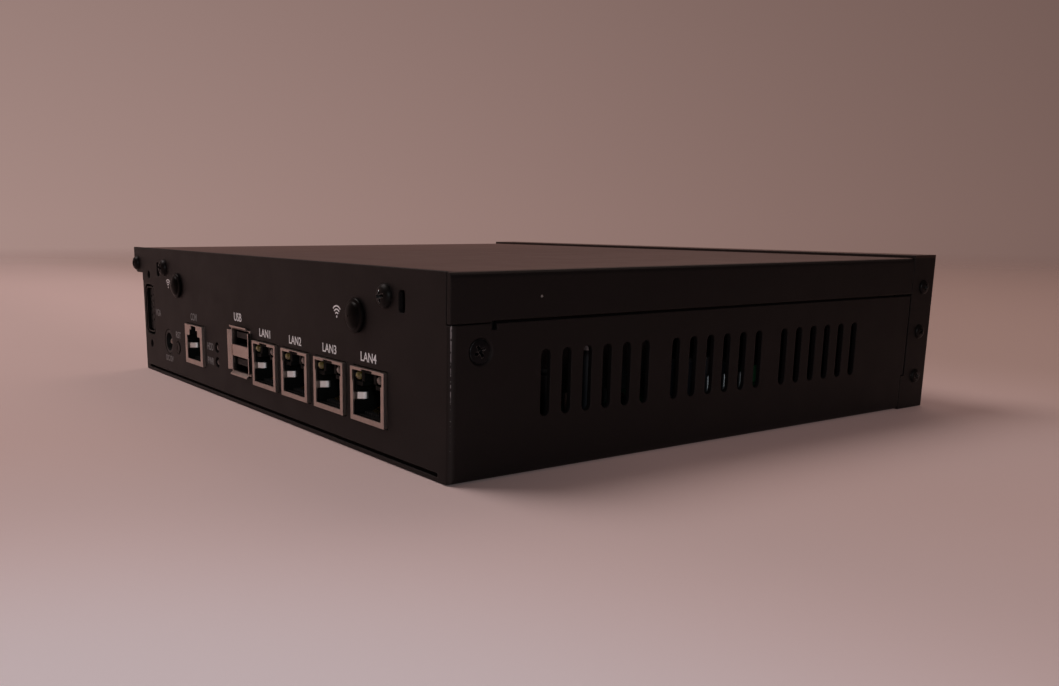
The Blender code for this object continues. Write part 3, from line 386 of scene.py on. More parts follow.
def circuit_board(name):
    """Solder mask over copper: tracks, vias, pads and small print."""
    look = Look(name, (0.010, 0.045, 0.020), 0.34)
    look.shade(look.noise(30 * MM, 3.0), 0.8, 1.2)
    tracks = look.add(
        "ShaderNodeTexBrick",
        {
            "Vector": look.place,
            "Scale": 1.0 / (9 * MM),
            "Mortar Size": 0.035,
            "Mortar Smooth": 0.1,
            "Brick Width": 0.9,
            "Row Height": 0.11,
        },
        offset=0.37,
        squash=0.6,
        squash_frequency=3,
    ).outputs["Fac"]
    copper = look.spread(look.noise(11 * MM, 2.0, offset=2.0), 0.45, 0.5)
    look.tint(look.math("MULTIPLY", look.math("MULTIPLY", tracks, copper), 0.8), (0.016, 0.085, 0.035))
    ring = look.spread(look.cells(1.9 * MM), 0.10, 0.13, 1.0, 0.0)
    few = look.spread(look.noise(7 * MM, 2.0, offset=6.0), 0.5, 0.54)
    ring = look.math("MULTIPLY", ring, few)
    look.tint(ring, (0.55, 0.52, 0.46))
    look.rough_mix(ring, 0.25)
    look.bump(tracks, 0.02 * MM)
    look.bump(look.noise(0.15 * MM, 2.0), 0.003 * MM)
    return look


def bare_metal(name, color, roughness, grain):
    """Bare machined or extruded metal with its lines along one axis."""
    look = Look(name, color, roughness, metallic=1.0)
    lines = look.noise(0.12 * MM, 4.0, 0.6, stretch=grain)
    look.rough(lines, roughness - 0.1, roughness + 0.15)
    look.shade(look.noise(5 * MM, 3.0, offset=3.0), 0.8, 1.1)
    look.round_edges(0.12 * MM)
    look.bump(lines, 0.006 * MM)
    return look


def sleeved_can(name):
    """A capacitor's dark printed sleeve, with the bare metal of the can on its top and its high rim."""
    look = Look(name, (0.010, 0.011, 0.014), 0.34, specular=0.3)
    look.rough(look.noise(2 * MM, 3.0), 0.28, 0.42)
    up = look.add("ShaderNodeSeparateXYZ", {0: look.add("ShaderNodeNewGeometry").outputs["True Normal"]})
    rim = look.spread(look.axes()[2], 23.6 * MM, 23.7 * MM)
    bare = look.math("MAXIMUM", look.spread(up.outputs[2], 0.5, 0.7), rim)
    look.tint(bare, (0.42, 0.42, 0.43))
    look.put(look.shader.inputs["Metallic"], bare)
    look.round_edges(0.12 * MM)
    look.bump(look.noise(0.2 * MM, 3.0), 0.004 * MM)
    return look


looks = {
    "chassis": powder_coat("case_coat", corner_wear),
    "cover": powder_coat("cover_coat", cover_speck),
    "bezel": powder_coat("bezel_coat", rim_dust_and_sheen),
    # The plated jack finishes below carry painted shade inside their openings.
    "nickel": plated("jack_nickel", (0.50, 0.43, 0.39), 0.30, recess_shade_left=0.12),
    "spring": plated("spring_steel", (0.80, 0.79, 0.77), 0.42, (9.0, 9.0, 1.0), 0.2),
    "usb": plated("usb_nickel", (0.54, 0.47, 0.43), 0.26, recess_shade_left=0.08),
    "vga": plated("vga_plate", (0.022, 0.020, 0.019), 0.44, tarnish=0.5, recess_shade_left=0.3),
    "plastic": moulded("black_nylon", (0.006, 0.006, 0.0055), 0.5, edge=0.03),
    # A darker copy of the black nylon: painted shade for the inserts deep in the jack windows.
    "socket": moulded("shaded_socket_nylon", (0.0022, 0.0024, 0.0021), 0.6, edge=0.02, specular=0.12),
    "gloss": moulded("plug_nylon", (0.0026, 0.0019, 0.0018), 0.30, 0.002, 0.03, specular=0.06),
    "amber": lens("lens_green", (0.10, 0.085, 0.018), (0.34, 0.31, 0.10)),
    "clear": lens("lens_clear", (0.15, 0.12, 0.105), (0.24, 0.18, 0.16)),
    "lamp": lens("lamp_smoke", (0.008, 0.004, 0.004), (0.014, 0.006, 0.006)),
    "ink": print_ink("white_print", 1.0),
    "faint": print_ink("grey_print", 0.26),
    "oxide": dark_steel("black_oxide"),
    "worn": dark_steel("black_oxide_worn", (0.005, 0.0043, 0.004), 0.42, 1.0),
    "zinc": plated("zinc_plate", (0.58, 0.60, 0.60), 0.34, (1.0, 1.0, 1.0), 0.5),
    "sunk": dark_steel("black_zinc", (0.004, 0.004, 0.005), 0.36, 1.0),
    "board": circuit_board("solder_mask"),
    # Darker than bare aluminium: painted shade for the heatsink inside the case.
    "aluminium": bare_metal("shaded_extruded_aluminium", (0.16, 0.16, 0.165), 0.4, (1.0, 30.0, 1.0)),
    "can": sleeved_can("capacitor_sleeve"),
    "brass": bare_metal("turned_brass", (0.68, 0.49, 0.22), 0.3, (8.0, 8.0, 1.0)),
    "gold": bare_metal("contact_gold", (0.86, 0.60, 0.24), 0.24, (1.0, 12.0, 1.0)),
    "tin": bare_metal("solder_tin", (0.70, 0.70, 0.70), 0.32, (1.0, 1.0, 1.0)),
    "post": bare_metal("bright_post", (0.30, 0.31, 0.32), 0.42, (1.0, 1.0, 1.0)),
    "chip": moulded("chip_epoxy", (0.018, 0.018, 0.019), 0.55, 0.008),
    "ferrite": moulded("ferrite", (0.05, 0.05, 0.052), 0.6, 0.012),
    "ceramic": moulded("ceramic_tan", (0.30, 0.19, 0.10), 0.45, 0.004),
}


# ---------------------------------------------------------------- pieces


def add_box(bm, low, high):
    """Adds a closed box and returns its faces."""
    low, high = Vector(low), Vector(high)
    size, middle = high - low, (high + low) / 2
    place = Matrix.Translation(middle) @ Matrix.Diagonal((*size, 1.0))
    made = bmesh.ops.create_cube(bm, size=1.0, matrix=place)
    return list({face for vert in made["verts"] for face in vert.link_faces})


def add_prism(bm, outline, start, end):
    """Adds a closed prism of an (x, z) outline from y start to y end."""
    near = [bm.verts.new((x, start, z)) for x, z in outline]
    far = [bm.verts.new((x, end, z)) for x, z in outline]
    faces = [bm.faces.new(near), bm.faces.new(far)]
    for i in range(len(outline)):
        j = (i + 1) % len(outline)
        faces.append(bm.faces.new((near[i], near[j], far[j], far[i])))
    bmesh.ops.recalc_face_normals(bm, faces=faces)


def add_turned(bm, profile, count, place):
    """Adds a closed turned solid: (radius, height) pairs from one end of the axis to the other."""
    rings = []
    for radius, height in profile:
        if radius < 1e-7:
            rings.append([bm.verts.new((0.0, 0.0, height))])
            continue
        angles = [2 * math.pi * i / count for i in range(count)]
        rings.append([bm.verts.new((radius * math.cos(a), radius * math.sin(a), height)) for a in angles])
    faces = []
    for first, second in zip(rings, rings[1:]):
        for i in range(count):
            j = (i + 1) % count
            if len(first) == 1 and len(second) == 1:
                continue
            if len(first) == 1:
                faces.append(bm.faces.new((first[0], second[i], second[j])))
            elif len(second) == 1:
                faces.append(bm.faces.new((first[i], first[j], second[0])))
            else:
                faces.append(bm.faces.new((first[i], first[j], second[j], second[i])))
    verts = [v for ring in rings for v in ring]
    bmesh.ops.recalc_face_normals(bm, faces=faces)
    bmesh.ops.transform(bm, matrix=place, verts=verts)
    return faces


def piece(name, bm, mats, body="case", sharp=35.0):
    """Makes the bmesh a shaded piece that rides on a body."""
    mesh = bpy.data.meshes.new(name)
    bm.normal_update()
    bm.to_mesh(mesh)
    bm.free()
    for mat in mats if isinstance(mats, (list, tuple)) else [mats]:
        mesh.materials.append(looks[mat].material)
    mesh.shade_smooth()
    mesh.set_sharp_from_angle(angle=math.radians(sharp))
    obj = bpy.data.objects.new(name, mesh)
    scene.collection.objects.link(obj)
    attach(obj, body)
    return obj


def cut(obj, bm, name):
    """Cuts the bmesh out of obj and keeps the result as obj's mesh."""
    mesh = bpy.data.meshes.new(name)
    bm.to_mesh(mesh)
    bm.free()
    cutter = bpy.data.objects.new(name, mesh)
    scene.collection.objects.link(cutter)
    modifier = obj.modifiers.new(name, "BOOLEAN")
    modifier.object = cutter
    modifier.operation = "DIFFERENCE"
    modifier.solver = "EXACT"
    modifier.use_self = True
    bpy.context.view_layer.update()
    result = bpy.data.meshes.new_from_object(obj.evaluated_get(bpy.context.evaluated_depsgraph_get()))
    obj.modifiers.clear()
    old = obj.data
    obj.data = result
    result.name = old.name
    bpy.data.meshes.remove(old)
    bpy.data.objects.remove(cutter)
    bpy.data.meshes.remove(mesh)
    obj.data.shade_smooth()
    obj.data.set_sharp_from_angle(angle=math.radians(35))


def facing(middle, direction):
    """Matrix that puts local +Z along direction, at middle."""
    return Matrix.Translation(middle) @ Vector(direction).to_track_quat("Z", "Y").to_matrix().to_4x4()


def add_cross(bm, place, length, width, top, depth):
    """Adds the two tapering wings of a cross recess, as two closed solids."""
    for turn in (0.0, math.pi / 2):
        upper = [(length, width), (-length, width), (-length, -width), (length, -width)]
        high = [bm.verts.new((x, y, top)) for x, y in upper]
        low = [bm.verts.new((0.45 * x, 0.7 * y, top - depth)) for x, y in upper]
        faces = [bm.faces.new(high), bm.faces.new(low)]
        for i in range(4):
            j = (i + 1) % 4
            faces.append(bm.faces.new((high[i], high[j], low[j], low[i])))
        bmesh.ops.recalc_face_normals(bm, faces=faces)
        bmesh.ops.transform(bm, matrix=place @ Matrix.Rotation(turn, 4, "Z"), verts=high + low)


def thread(radius, top, bottom, pitch=0.5 * MM):
    """(radius, height) pairs down a screw's shank, as rings in place of a helix."""
    found = [(radius, top)]
    steps = int((top - bottom) / pitch)
    for i in range(steps):
        height = top - (i + 0.5) * pitch
        found += [(radius, height + 0.06 * MM), (radius - 0.18 * MM, height - 0.12 * MM)]
        found.append((radius, height - pitch / 2 + 0.02 * MM))
    found += [(radius - 0.1 * MM, bottom), (0.0, bottom)]
    return found


def screw(node, direction, wall, mat, spin=0.0, shank=1.3 * MM, sunk=False):
    """A cross-recessed screw in place of a CAD one: node's box gives its size, wall its seat."""
    low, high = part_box(node)
    middle = (low + high) / 2
    axis = Vector(direction)
    along = [i for i in range(3) if abs(axis[i]) > 0.5][0]
    across = [i for i in range(3) if i != along][0]
    radius = (high[across] - low[across]) / 2
    outer = (high if axis[along] > 0 else low)[along]
    inner = (low if axis[along] > 0 else high)[along]
    middle[along] = wall
    height = abs(outer - wall)
    reach = abs(inner - wall)
    place = facing(middle, direction) @ Matrix.Rotation(spin, 4, "Z")
    if sunk:
        top = -height
        head = [(0.0, top), (0.90 * radius, top), (0.97 * radius, top - 0.06 * MM), (radius, top - 0.16 * MM)]
        head += [(shank + 0.15 * MM, top - 1.3 * MM)]
        seat = top - 1.3 * MM
        recess_top, recess_depth = top + 0.2 * MM, 1.3 * MM
    else:
        shape = [(0.0, 1.0), (0.3, 0.985), (0.52, 0.93), (0.7, 0.83)]
        shape += [(0.85, 0.66), (0.95, 0.42), (0.995, 0.16)]
        head = [(radius * r, height * h) for r, h in shape] + [(radius, 0.04 * MM), (0.97 * radius, 0.0)]
        seat = 0.0
        recess_top, recess_depth = height + 0.1 * MM, min(1.25 * MM, 0.95 * height + 0.1 * MM)
    bm = bmesh.new()
    add_turned(bm, head + thread(shank, seat - 0.01 * MM, -reach), 48, place)
    made = piece(node + "_detail", bm, mat)
    cross = bmesh.new()
    add_cross(cross, place, 0.60 * radius, 0.145 * radius, recess_top, recess_depth)
    cut(made, cross, "recess")
    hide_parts(node)


def make_screws():
    """Every outside screw, each turned to its own angle; two are worn bright."""
    random.seed(11)
    for number in (1, 2):
        node = f"wall_screw_{number}"
        mat = "worn" if node in BRIGHT_SCREWS else "oxide"
        screw(node, (0, -1, 0), FRONT, mat, random.random() * 3)
    screw("lug_screw", (0, -1, 0), FRONT, "oxide", 0.6)
    for number in range(1, 7):
        node = f"bezel_screw_{number}"
        side = -1 if number < 4 else 1
        mat = "worn" if node in BRIGHT_SCREWS else "oxide"
        screw(node, (side, 0, 0), side * CASE_X, mat, random.random() * 3, 1.2 * MM)
    for number, side in ((1, -1), (2, 1)):
        screw(f"side_screw_{number}", (side, 0, 0), side * CASE_X, "sunk", 0.5, 1.2 * MM, sunk=True)


def make_plugs():
    """Snap-in antenna plugs: a stepped rim and a polished dome, with the mark of the mould gate."""
    for number in (1, 2):
        node = f"antenna_plug_{number}"
        low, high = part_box(node)
        middle = (low + high) / 2
        radius = (high.x - low.x) / 2
        place = facing((middle.x, FRONT, middle.z), (0, -1, 0))
        rise = FRONT - low.y
        neck = radius - 1.2 * MM
        profile = [(0.0, rise - 0.10 * MM), (0.25 * MM, rise - 0.09 * MM), (0.35 * MM, rise)]
        for i in range(1, 11):
            angle = math.radians(4 + 7.4 * i)
            profile.append((0.80 * radius * math.sin(angle) / math.sin(math.radians(78)), 0))
            drop = (1 - math.cos(angle)) / (1 - math.cos(math.radians(78)))
            profile[-1] = (profile[-1][0], rise - (rise - 1.15 * MM) * drop)
        profile += [
            (0.84 * radius, 1.08 * MM),
            (0.90 * radius, 1.06 * MM),
            (0.96 * radius, 0.96 * MM),
            (radius, 0.74 * MM),
            (radius, 0.26 * MM),
            (0.985 * radius, 0.2 * MM),
            (neck, 0.2 * MM),
            (neck, -1.5 * MM),
            (neck + 0.7 * MM, -1.55 * MM),
            (neck + 0.7 * MM, -1.9 * MM),
            (neck - 0.4 * MM, FRONT - high.y),
            (0.0, FRONT - high.y),
        ]
        bm = bmesh.new()
        add_turned(bm, profile, 72, place)
        made = piece(node + "_detail", bm, "gloss", sharp=28)
        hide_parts(node)


def make_button():
    """The push button: a dished cap with a soft rim."""
    low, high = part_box("button_cap")
    middle = (low + high) / 2
    proud = FRONT - low.y
    place = facing((middle.x, FRONT, middle.z), (0, -1, 0))
    face, collar = 2.0 * MM, (high.x - low.x) / 2
    profile = [(0.0, proud - 0.12 * MM), (0.6 * MM, proud - 0.10 * MM), (1.1 * MM, proud - 0.03 * MM)]
    profile += [(1.45 * MM, proud), (1.75 * MM, proud - 0.05 * MM), (face, proud - 0.25 * MM)]
    profile += [(face, -1.5 * MM), (collar, -1.5 * MM), (collar, -2.3 * MM), (0.0, -2.3 * MM)]
    bm = bmesh.new()
    add_turned(bm, profile, 48, place)
    made = piece("button_cap_detail", bm, "gloss", body="button", sharp=28)
    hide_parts("button_cap")


def make_lamps():
    """Domed indicator lamps, dark while unlit."""
    for node in ("storage_light", "power_light"):
        low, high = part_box(node)
        middle = (low + high) / 2
        proud = FRONT - low.y
        place = facing((middle.x, FRONT, middle.z), (0, -1, 0))
        profile = []
        for i in range(8):
            angle = math.radians(90 * i / 7)
            profile.append((1.42 * MM * math.sin(angle), proud - 1.2 * MM * (1 - math.cos(angle))))
        profile += [(1.42 * MM, -4.2 * MM), (1.8 * MM, -4.2 * MM), (1.8 * MM, -5.2 * MM), (0.0, -5.2 * MM)]
        bm = bmesh.new()
        add_turned(bm, profile, 40, place)
        made = piece(node + "_detail", bm, "lamp", sharp=40)
        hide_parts(node)


def make_dc_jack():
    """The supply socket's centre pin with its bright tip, and the spring leaf beside it."""
    low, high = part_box("dc_jack_pin")
    middle = (low + high) / 2
    radius = (high.x - low.x) / 2
    length = high.y - low.y
    place = facing((middle.x, high.y, middle.z), (0, -1, 0))
    profile = [(0.0, length), (0.45 * radius, length - 0.06 * MM), (0.8 * radius, length - 0.3 * MM)]
    profile += [(radius, length - 0.8 * MM), (radius, 0.0), (0.0, 0.0)]
    bm = bmesh.new()
    add_turned(bm, profile, 32, place)
    made = piece("dc_jack_pin_detail", bm, "usb", sharp=40)
    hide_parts("dc_jack_pin")
    leaf = bmesh.new()
    leaf_low = (middle.x - 0.9 * MM, FRONT + 1.4 * MM, middle.z + 2.55 * MM)
    leaf_high = (middle.x + 0.9 * MM, FRONT + 8.4 * MM, middle.z + 2.8 * MM)
    add_box(leaf, leaf_low, leaf_high)
    piece("dc_jack_leaf", leaf, "usb")


def ribbon(bm, path, half, thick):
    """Adds a bent strip: (y, z) points of its lower side, half its width each side of x = 0."""
    points = [Vector((0.0, y, z)) for y, z in path]
    rings = []
    for i, point in enumerate(points):
        ahead = (points[min(i + 1, len(points) - 1)] - points[max(i - 1, 0)]).normalized()
        up = Vector((1.0, 0.0, 0.0)).cross(ahead) * thick
        ring = [point + Vector((-half, 0, 0)), point + Vector((half, 0, 0))]
        ring += [point + up + Vector((half, 0, 0)), point + up + Vector((-half, 0, 0))]
        rings.append([bm.verts.new(v) for v in ring])
    faces = [bm.faces.new(rings[0]), bm.faces.new(rings[-1])]
    for first, second in zip(rings, rings[1:]):
        for i in range(4):
            j = (i + 1) % 4
            faces.append(bm.faces.new((first[i], first[j], second[j], second[i])))
    bmesh.ops.recalc_face_normals(bm, faces=faces)
    return [v for ring in rings for v in ring]


def make_jack_contacts():
    """Eight gold spring wires in each modular jack, and the comb that spaces them."""
    for jack in MODULAR_JACKS:
        low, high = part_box(f"{jack}_insert")
        middle_x = (low.x + high.x) / 2
        front, floor = low.y, low.z + 0.85 * MM
        wires = bmesh.new()
        for i in range(8):
            x = middle_x + (i - 3.5) * WIRE_PITCH
            path = [(2.2, 0.0), (2.9, 0.28), (5.0, 1.2), (8.0, 2.45)]
            path += [(9.6, 3.0), (10.3, 3.05), (10.6, 2.7), (10.8, 0.8)]
            path = [(front + y * MM, floor + z * MM) for y, z in path]
            verts = ribbon(wires, path, 0.17 * MM, 0.22 * MM)
            bmesh.ops.translate(wires, vec=(x, 0, 0), verts=verts)
        piece(f"{jack}_contacts", wires, "gold")
        comb = bmesh.new()
        for i in range(9):
            x = middle_x + (i - 4) * WIRE_PITCH
            add_box(
                comb,
                (x - 0.16 * MM, front + 1.2 * MM, floor - 0.1 * MM),
                (x + 0.16 * MM, front + 4.4 * MM, floor + 0.55 * MM),
            )
        piece(f"{jack}_comb", comb, "plastic")


def make_jack_springs():
    """The bright side spring of each jack's can, bowed into its window."""
    for jack in MODULAR_JACKS:
        low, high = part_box(f"{jack}_shield")
        middle_x, middle_z = (low.x + high.x) / 2, (low.z + high.z) / 2
        reach = 5.85 if jack == "com" else 6.42
        bm = bmesh.new()
        path = [(-reach - 0.5, -0.1), (-reach - 0.2, 0.02), (-reach + 0.08, 0.34), (-reach + 0.4, 0.8)]
        path += [(-reach + 0.78, 1.28), (-reach + 1.12, 1.72), (-reach + 1.2, 2.08), (-reach + 1.0, 2.5)]
        verts = ribbon(bm, [(x * MM, -y * MM) for x, y in path], 0.83 * MM, 0.2 * MM)
        turn = Matrix(((0, 1, 0, 0), (0, 0, -1, 0), (1, 0, 0, 0), (0, 0, 0, 1)))
        bmesh.ops.transform(bm, matrix=turn, verts=verts)
        bmesh.ops.translate(bm, vec=(middle_x, FRONT, middle_z - 0.7 * MM), verts=verts)
        bmesh.ops.recalc_face_normals(bm, faces=bm.faces)
        piece(f"{jack}_spring", bm, "spring")


def make_jack_lights():
    """Rounded light pipes in the upper corners of the network jacks."""
    for number in range(1, NETWORK_JACKS + 1):
        for side, mat, slot in (("left", "amber", "amber_lens"), ("right", "clear", "clear_lens")):
            node = f"lan{number}_light_{side}"
            low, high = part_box(node)
            middle = (low + high) / 2
            half_x, half_z = (high.x - low.x) / 2, (high.z - low.z) / 2
            bm = bmesh.new()
            profile = [(0.0, -low.y)]
            for i in range(1, 8):
                angle = math.radians(90 * i / 7)
                profile.append((half_x * math.sin(angle), -low.y - 0.8 * MM * (1 - math.cos(angle))))
            profile += [(half_x, -high.y), (0.0, -high.y)]
            place = Matrix.Translation((middle.x, 0.0, middle.z)) @ Matrix.Rotation(math.pi / 2, 4, "X")
            squash = Matrix.Diagonal((1.0, half_z / half_x, 1.0, 1.0))
            add_turned(bm, profile, 32, place @ squash)
            made = piece(node + "_detail", bm, mat, sharp=50)
            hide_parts(node)


def make_usb_contacts():
    """Four gold strips under each tongue of the stacked sockets."""
    low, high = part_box("usb_insulator")
    middle_x = (low.x + high.x) / 2
    shell_low, shell_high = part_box("usb_shell")
    middle_z = (shell_low.z + shell_high.z) / 2
    bm = bmesh.new()
    for side in (-1, 1):
        under = middle_z + side * 4.05 * MM - 0.4 * MM
        for offset in (-3.5, -1.0, 1.0, 3.5):
            x = middle_x + offset * MM
            y = shell_low.y + 3.0 * MM
            add_box(bm, (x - 0.5 * MM, y, under - 0.16 * MM), (x + 0.5 * MM, y + 7.5 * MM, under + 0.02 * MM))
    piece("usb_contacts", bm, "gold")


# ---------------------------------------------------------------- printed marks


def mark(name, words, x, z, height, width, ink="ink"):
    """Printed words on the port wall, centred on (x, z)."""
    curve = bpy.data.curves.new(name, "FONT")
    curve.body = words
    curve.align_x, curve.align_y = "CENTER", "CENTER"
    curve.offset = 0.012
    curve.extrude = 0.004
    curve.resolution_u = 5
    source = bpy.data.objects.new(name + "_source", curve)
    scene.collection.objects.link(source)
    bpy.context.view_layer.update()
    mesh = bpy.data.meshes.new_from_object(source.evaluated_get(bpy.context.evaluated_depsgraph_get()))
    bpy.data.objects.remove(source)
    bpy.data.curves.remove(curve)
    xs = [v.co.x for v in mesh.vertices]
    ys = [v.co.y for v in mesh.vertices]
    middle = Vector(((min(xs) + max(xs)) / 2, (min(ys) + max(ys)) / 2, 0.0))
    tall = height / (max(ys) - min(ys))
    wide = width / (max(xs) - min(xs))
    shape = Matrix.Diagonal((wide, tall, tall, 1.0)) @ Matrix.Translation(-middle)
    place = Matrix.Translation((x, FRONT - 0.012 * MM, z)) @ Matrix.Rotation(math.pi / 2, 4, "X")
    mesh.transform(place @ shape)
    mesh.name = name
    mesh.materials.clear()
    mesh.materials.append(looks[ink].material)
    obj = bpy.data.objects.new(name, mesh)
    scene.collection.objects.link(obj)
    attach(obj, "case")


def radio_mark(name, x, z, size):
    """Three plain arcs over a dot, for the antenna holes."""
    bm = bmesh.new()
    foot = -0.42 * size
    half = 0.065 * size
    angles = [math.radians(45 + 90 * i / 14) for i in range(15)]
    for share in (0.34, 0.62, 0.90):
        outer, inner = share * size + half, share * size - half
        outline = [(outer * math.cos(a), foot + outer * math.sin(a)) for a in angles]
        outline += [(inner * math.cos(a), foot + inner * math.sin(a)) for a in reversed(angles)]
        add_prism(bm, outline, -0.02 * MM, -0.004 * MM)
    angles = [2 * math.pi * i / 16 for i in range(16)]
    dot = [(0.10 * size * math.cos(a), foot + 0.10 * size * math.sin(a)) for a in angles]
    add_prism(bm, dot, -0.02 * MM, -0.004 * MM)
    bmesh.ops.translate(bm, vec=(x, FRONT, z), verts=bm.verts)
    piece(name, bm, "ink")


def make_marks():
    for number in range(1, NETWORK_JACKS + 1):
        low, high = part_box(f"lan{number}_shield")
        x = (low.x + high.x) / 2 - 0.6 * MM
        mark(f"mark_lan{number}", f"LAN{number}", x, high.z + 2.6 * MM, 2.25 * MM, 7.3 * MM)
    low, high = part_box("usb_shell")
    mark("mark_usb", "USB", (low.x + high.x) / 2 - 1.6 * MM, high.z + 2.6 * MM, 2.5 * MM, 5.6 * MM)
    low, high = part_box("com_shield")
    mark("mark_com", "COM", (low.x + high.x) / 2 - 1.6 * MM, high.z + 2.5 * MM, 2.4 * MM, 5.6 * MM, "faint")
    low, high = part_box("vga_shell")
    mark("mark_vga", "VGA", high.x + 2.7 * MM, (low.z + high.z) / 2 - 0.6 * MM, 2.4 * MM, 5.2 * MM, "faint")
    for node, words in (("storage_light", "HDD"), ("power_light", "PWR")):
        low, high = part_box(node)
        z = (low.z + high.z) / 2 - 0.2 * MM
        mark(f"mark_{node}", words, low.x - 4.0 * MM, z, 2.3 * MM, 5.2 * MM, "faint")
    low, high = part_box("dc_jack_body")
    mark("mark_supply", "DC12V", (low.x + high.x) / 2, low.z - 0.9 * MM, 2.0 * MM, 7.4 * MM, "faint")
    low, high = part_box("button_cap")
    x = (low.x + high.x) / 2 + 0.4 * MM
    mark("mark_button", "RST", x, high.z + 1.6 * MM, 2.2 * MM, 4.8 * MM, "faint")
    for number in (1, 2):
        low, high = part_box(f"antenna_plug_{number}")
        x = (low.x + high.x) / 2 - 9.9 * MM
        radio_mark(f"mark_radio_{number}", x, (low.z + high.z) / 2 + 0.1 * MM, 2.9 * MM)


# ---------------------------------------------------------------- board detail


def add_chip(bm, x, y, z, size, tall, pins=0, pitch=0.65 * MM):
    """Adds a package, and leads along its two long sides on the second material."""
    sx, sy = size
    add_box(bm, (x - sx / 2, y - sy / 2, z + 0.1 * MM), (x + sx / 2, y + sy / 2, z + tall))
    for side in (-1, 1):
        for i in range(pins):
            at = x + (i - (pins - 1) / 2) * pitch
            low_y, high_y = sorted((y + side * (sy / 2 - 0.1 * MM), y + side * (sy / 2 + 0.9 * MM)))
            lead_low = (at - 0.13 * MM, low_y, z + 0.02 * MM)
            lead_high = (at + 0.13 * MM, high_y, z + 0.3 * MM)
            for face in add_box(bm, lead_low, lead_high):
                face.material_index = 1


def add_header(name, places, top, seat, tall, r, metal):
    """Round pins of radius r in moulded housings, at (x, y) millimetres on the board."""
    header = bmesh.new()
    half = 0.9 * MM
    for x, y in places:
        x, y = x * MM, y * MM
        add_box(header, (x - half, y - half, top + 0.05 * MM), (x + half, y + half, top + seat))
        profile = [(0.0, tall), (0.7 * r, tall - 0.04 * MM), (r, tall - 0.3 * MM), (r, seat - 0.1 * MM)]
        profile.append((0.0, seat - 0.1 * MM))
        for face in add_turned(header, profile, 16, Matrix.Translation((x, y, top))):
            face.material_index = 1
    piece(name, header, ["plastic", metal])


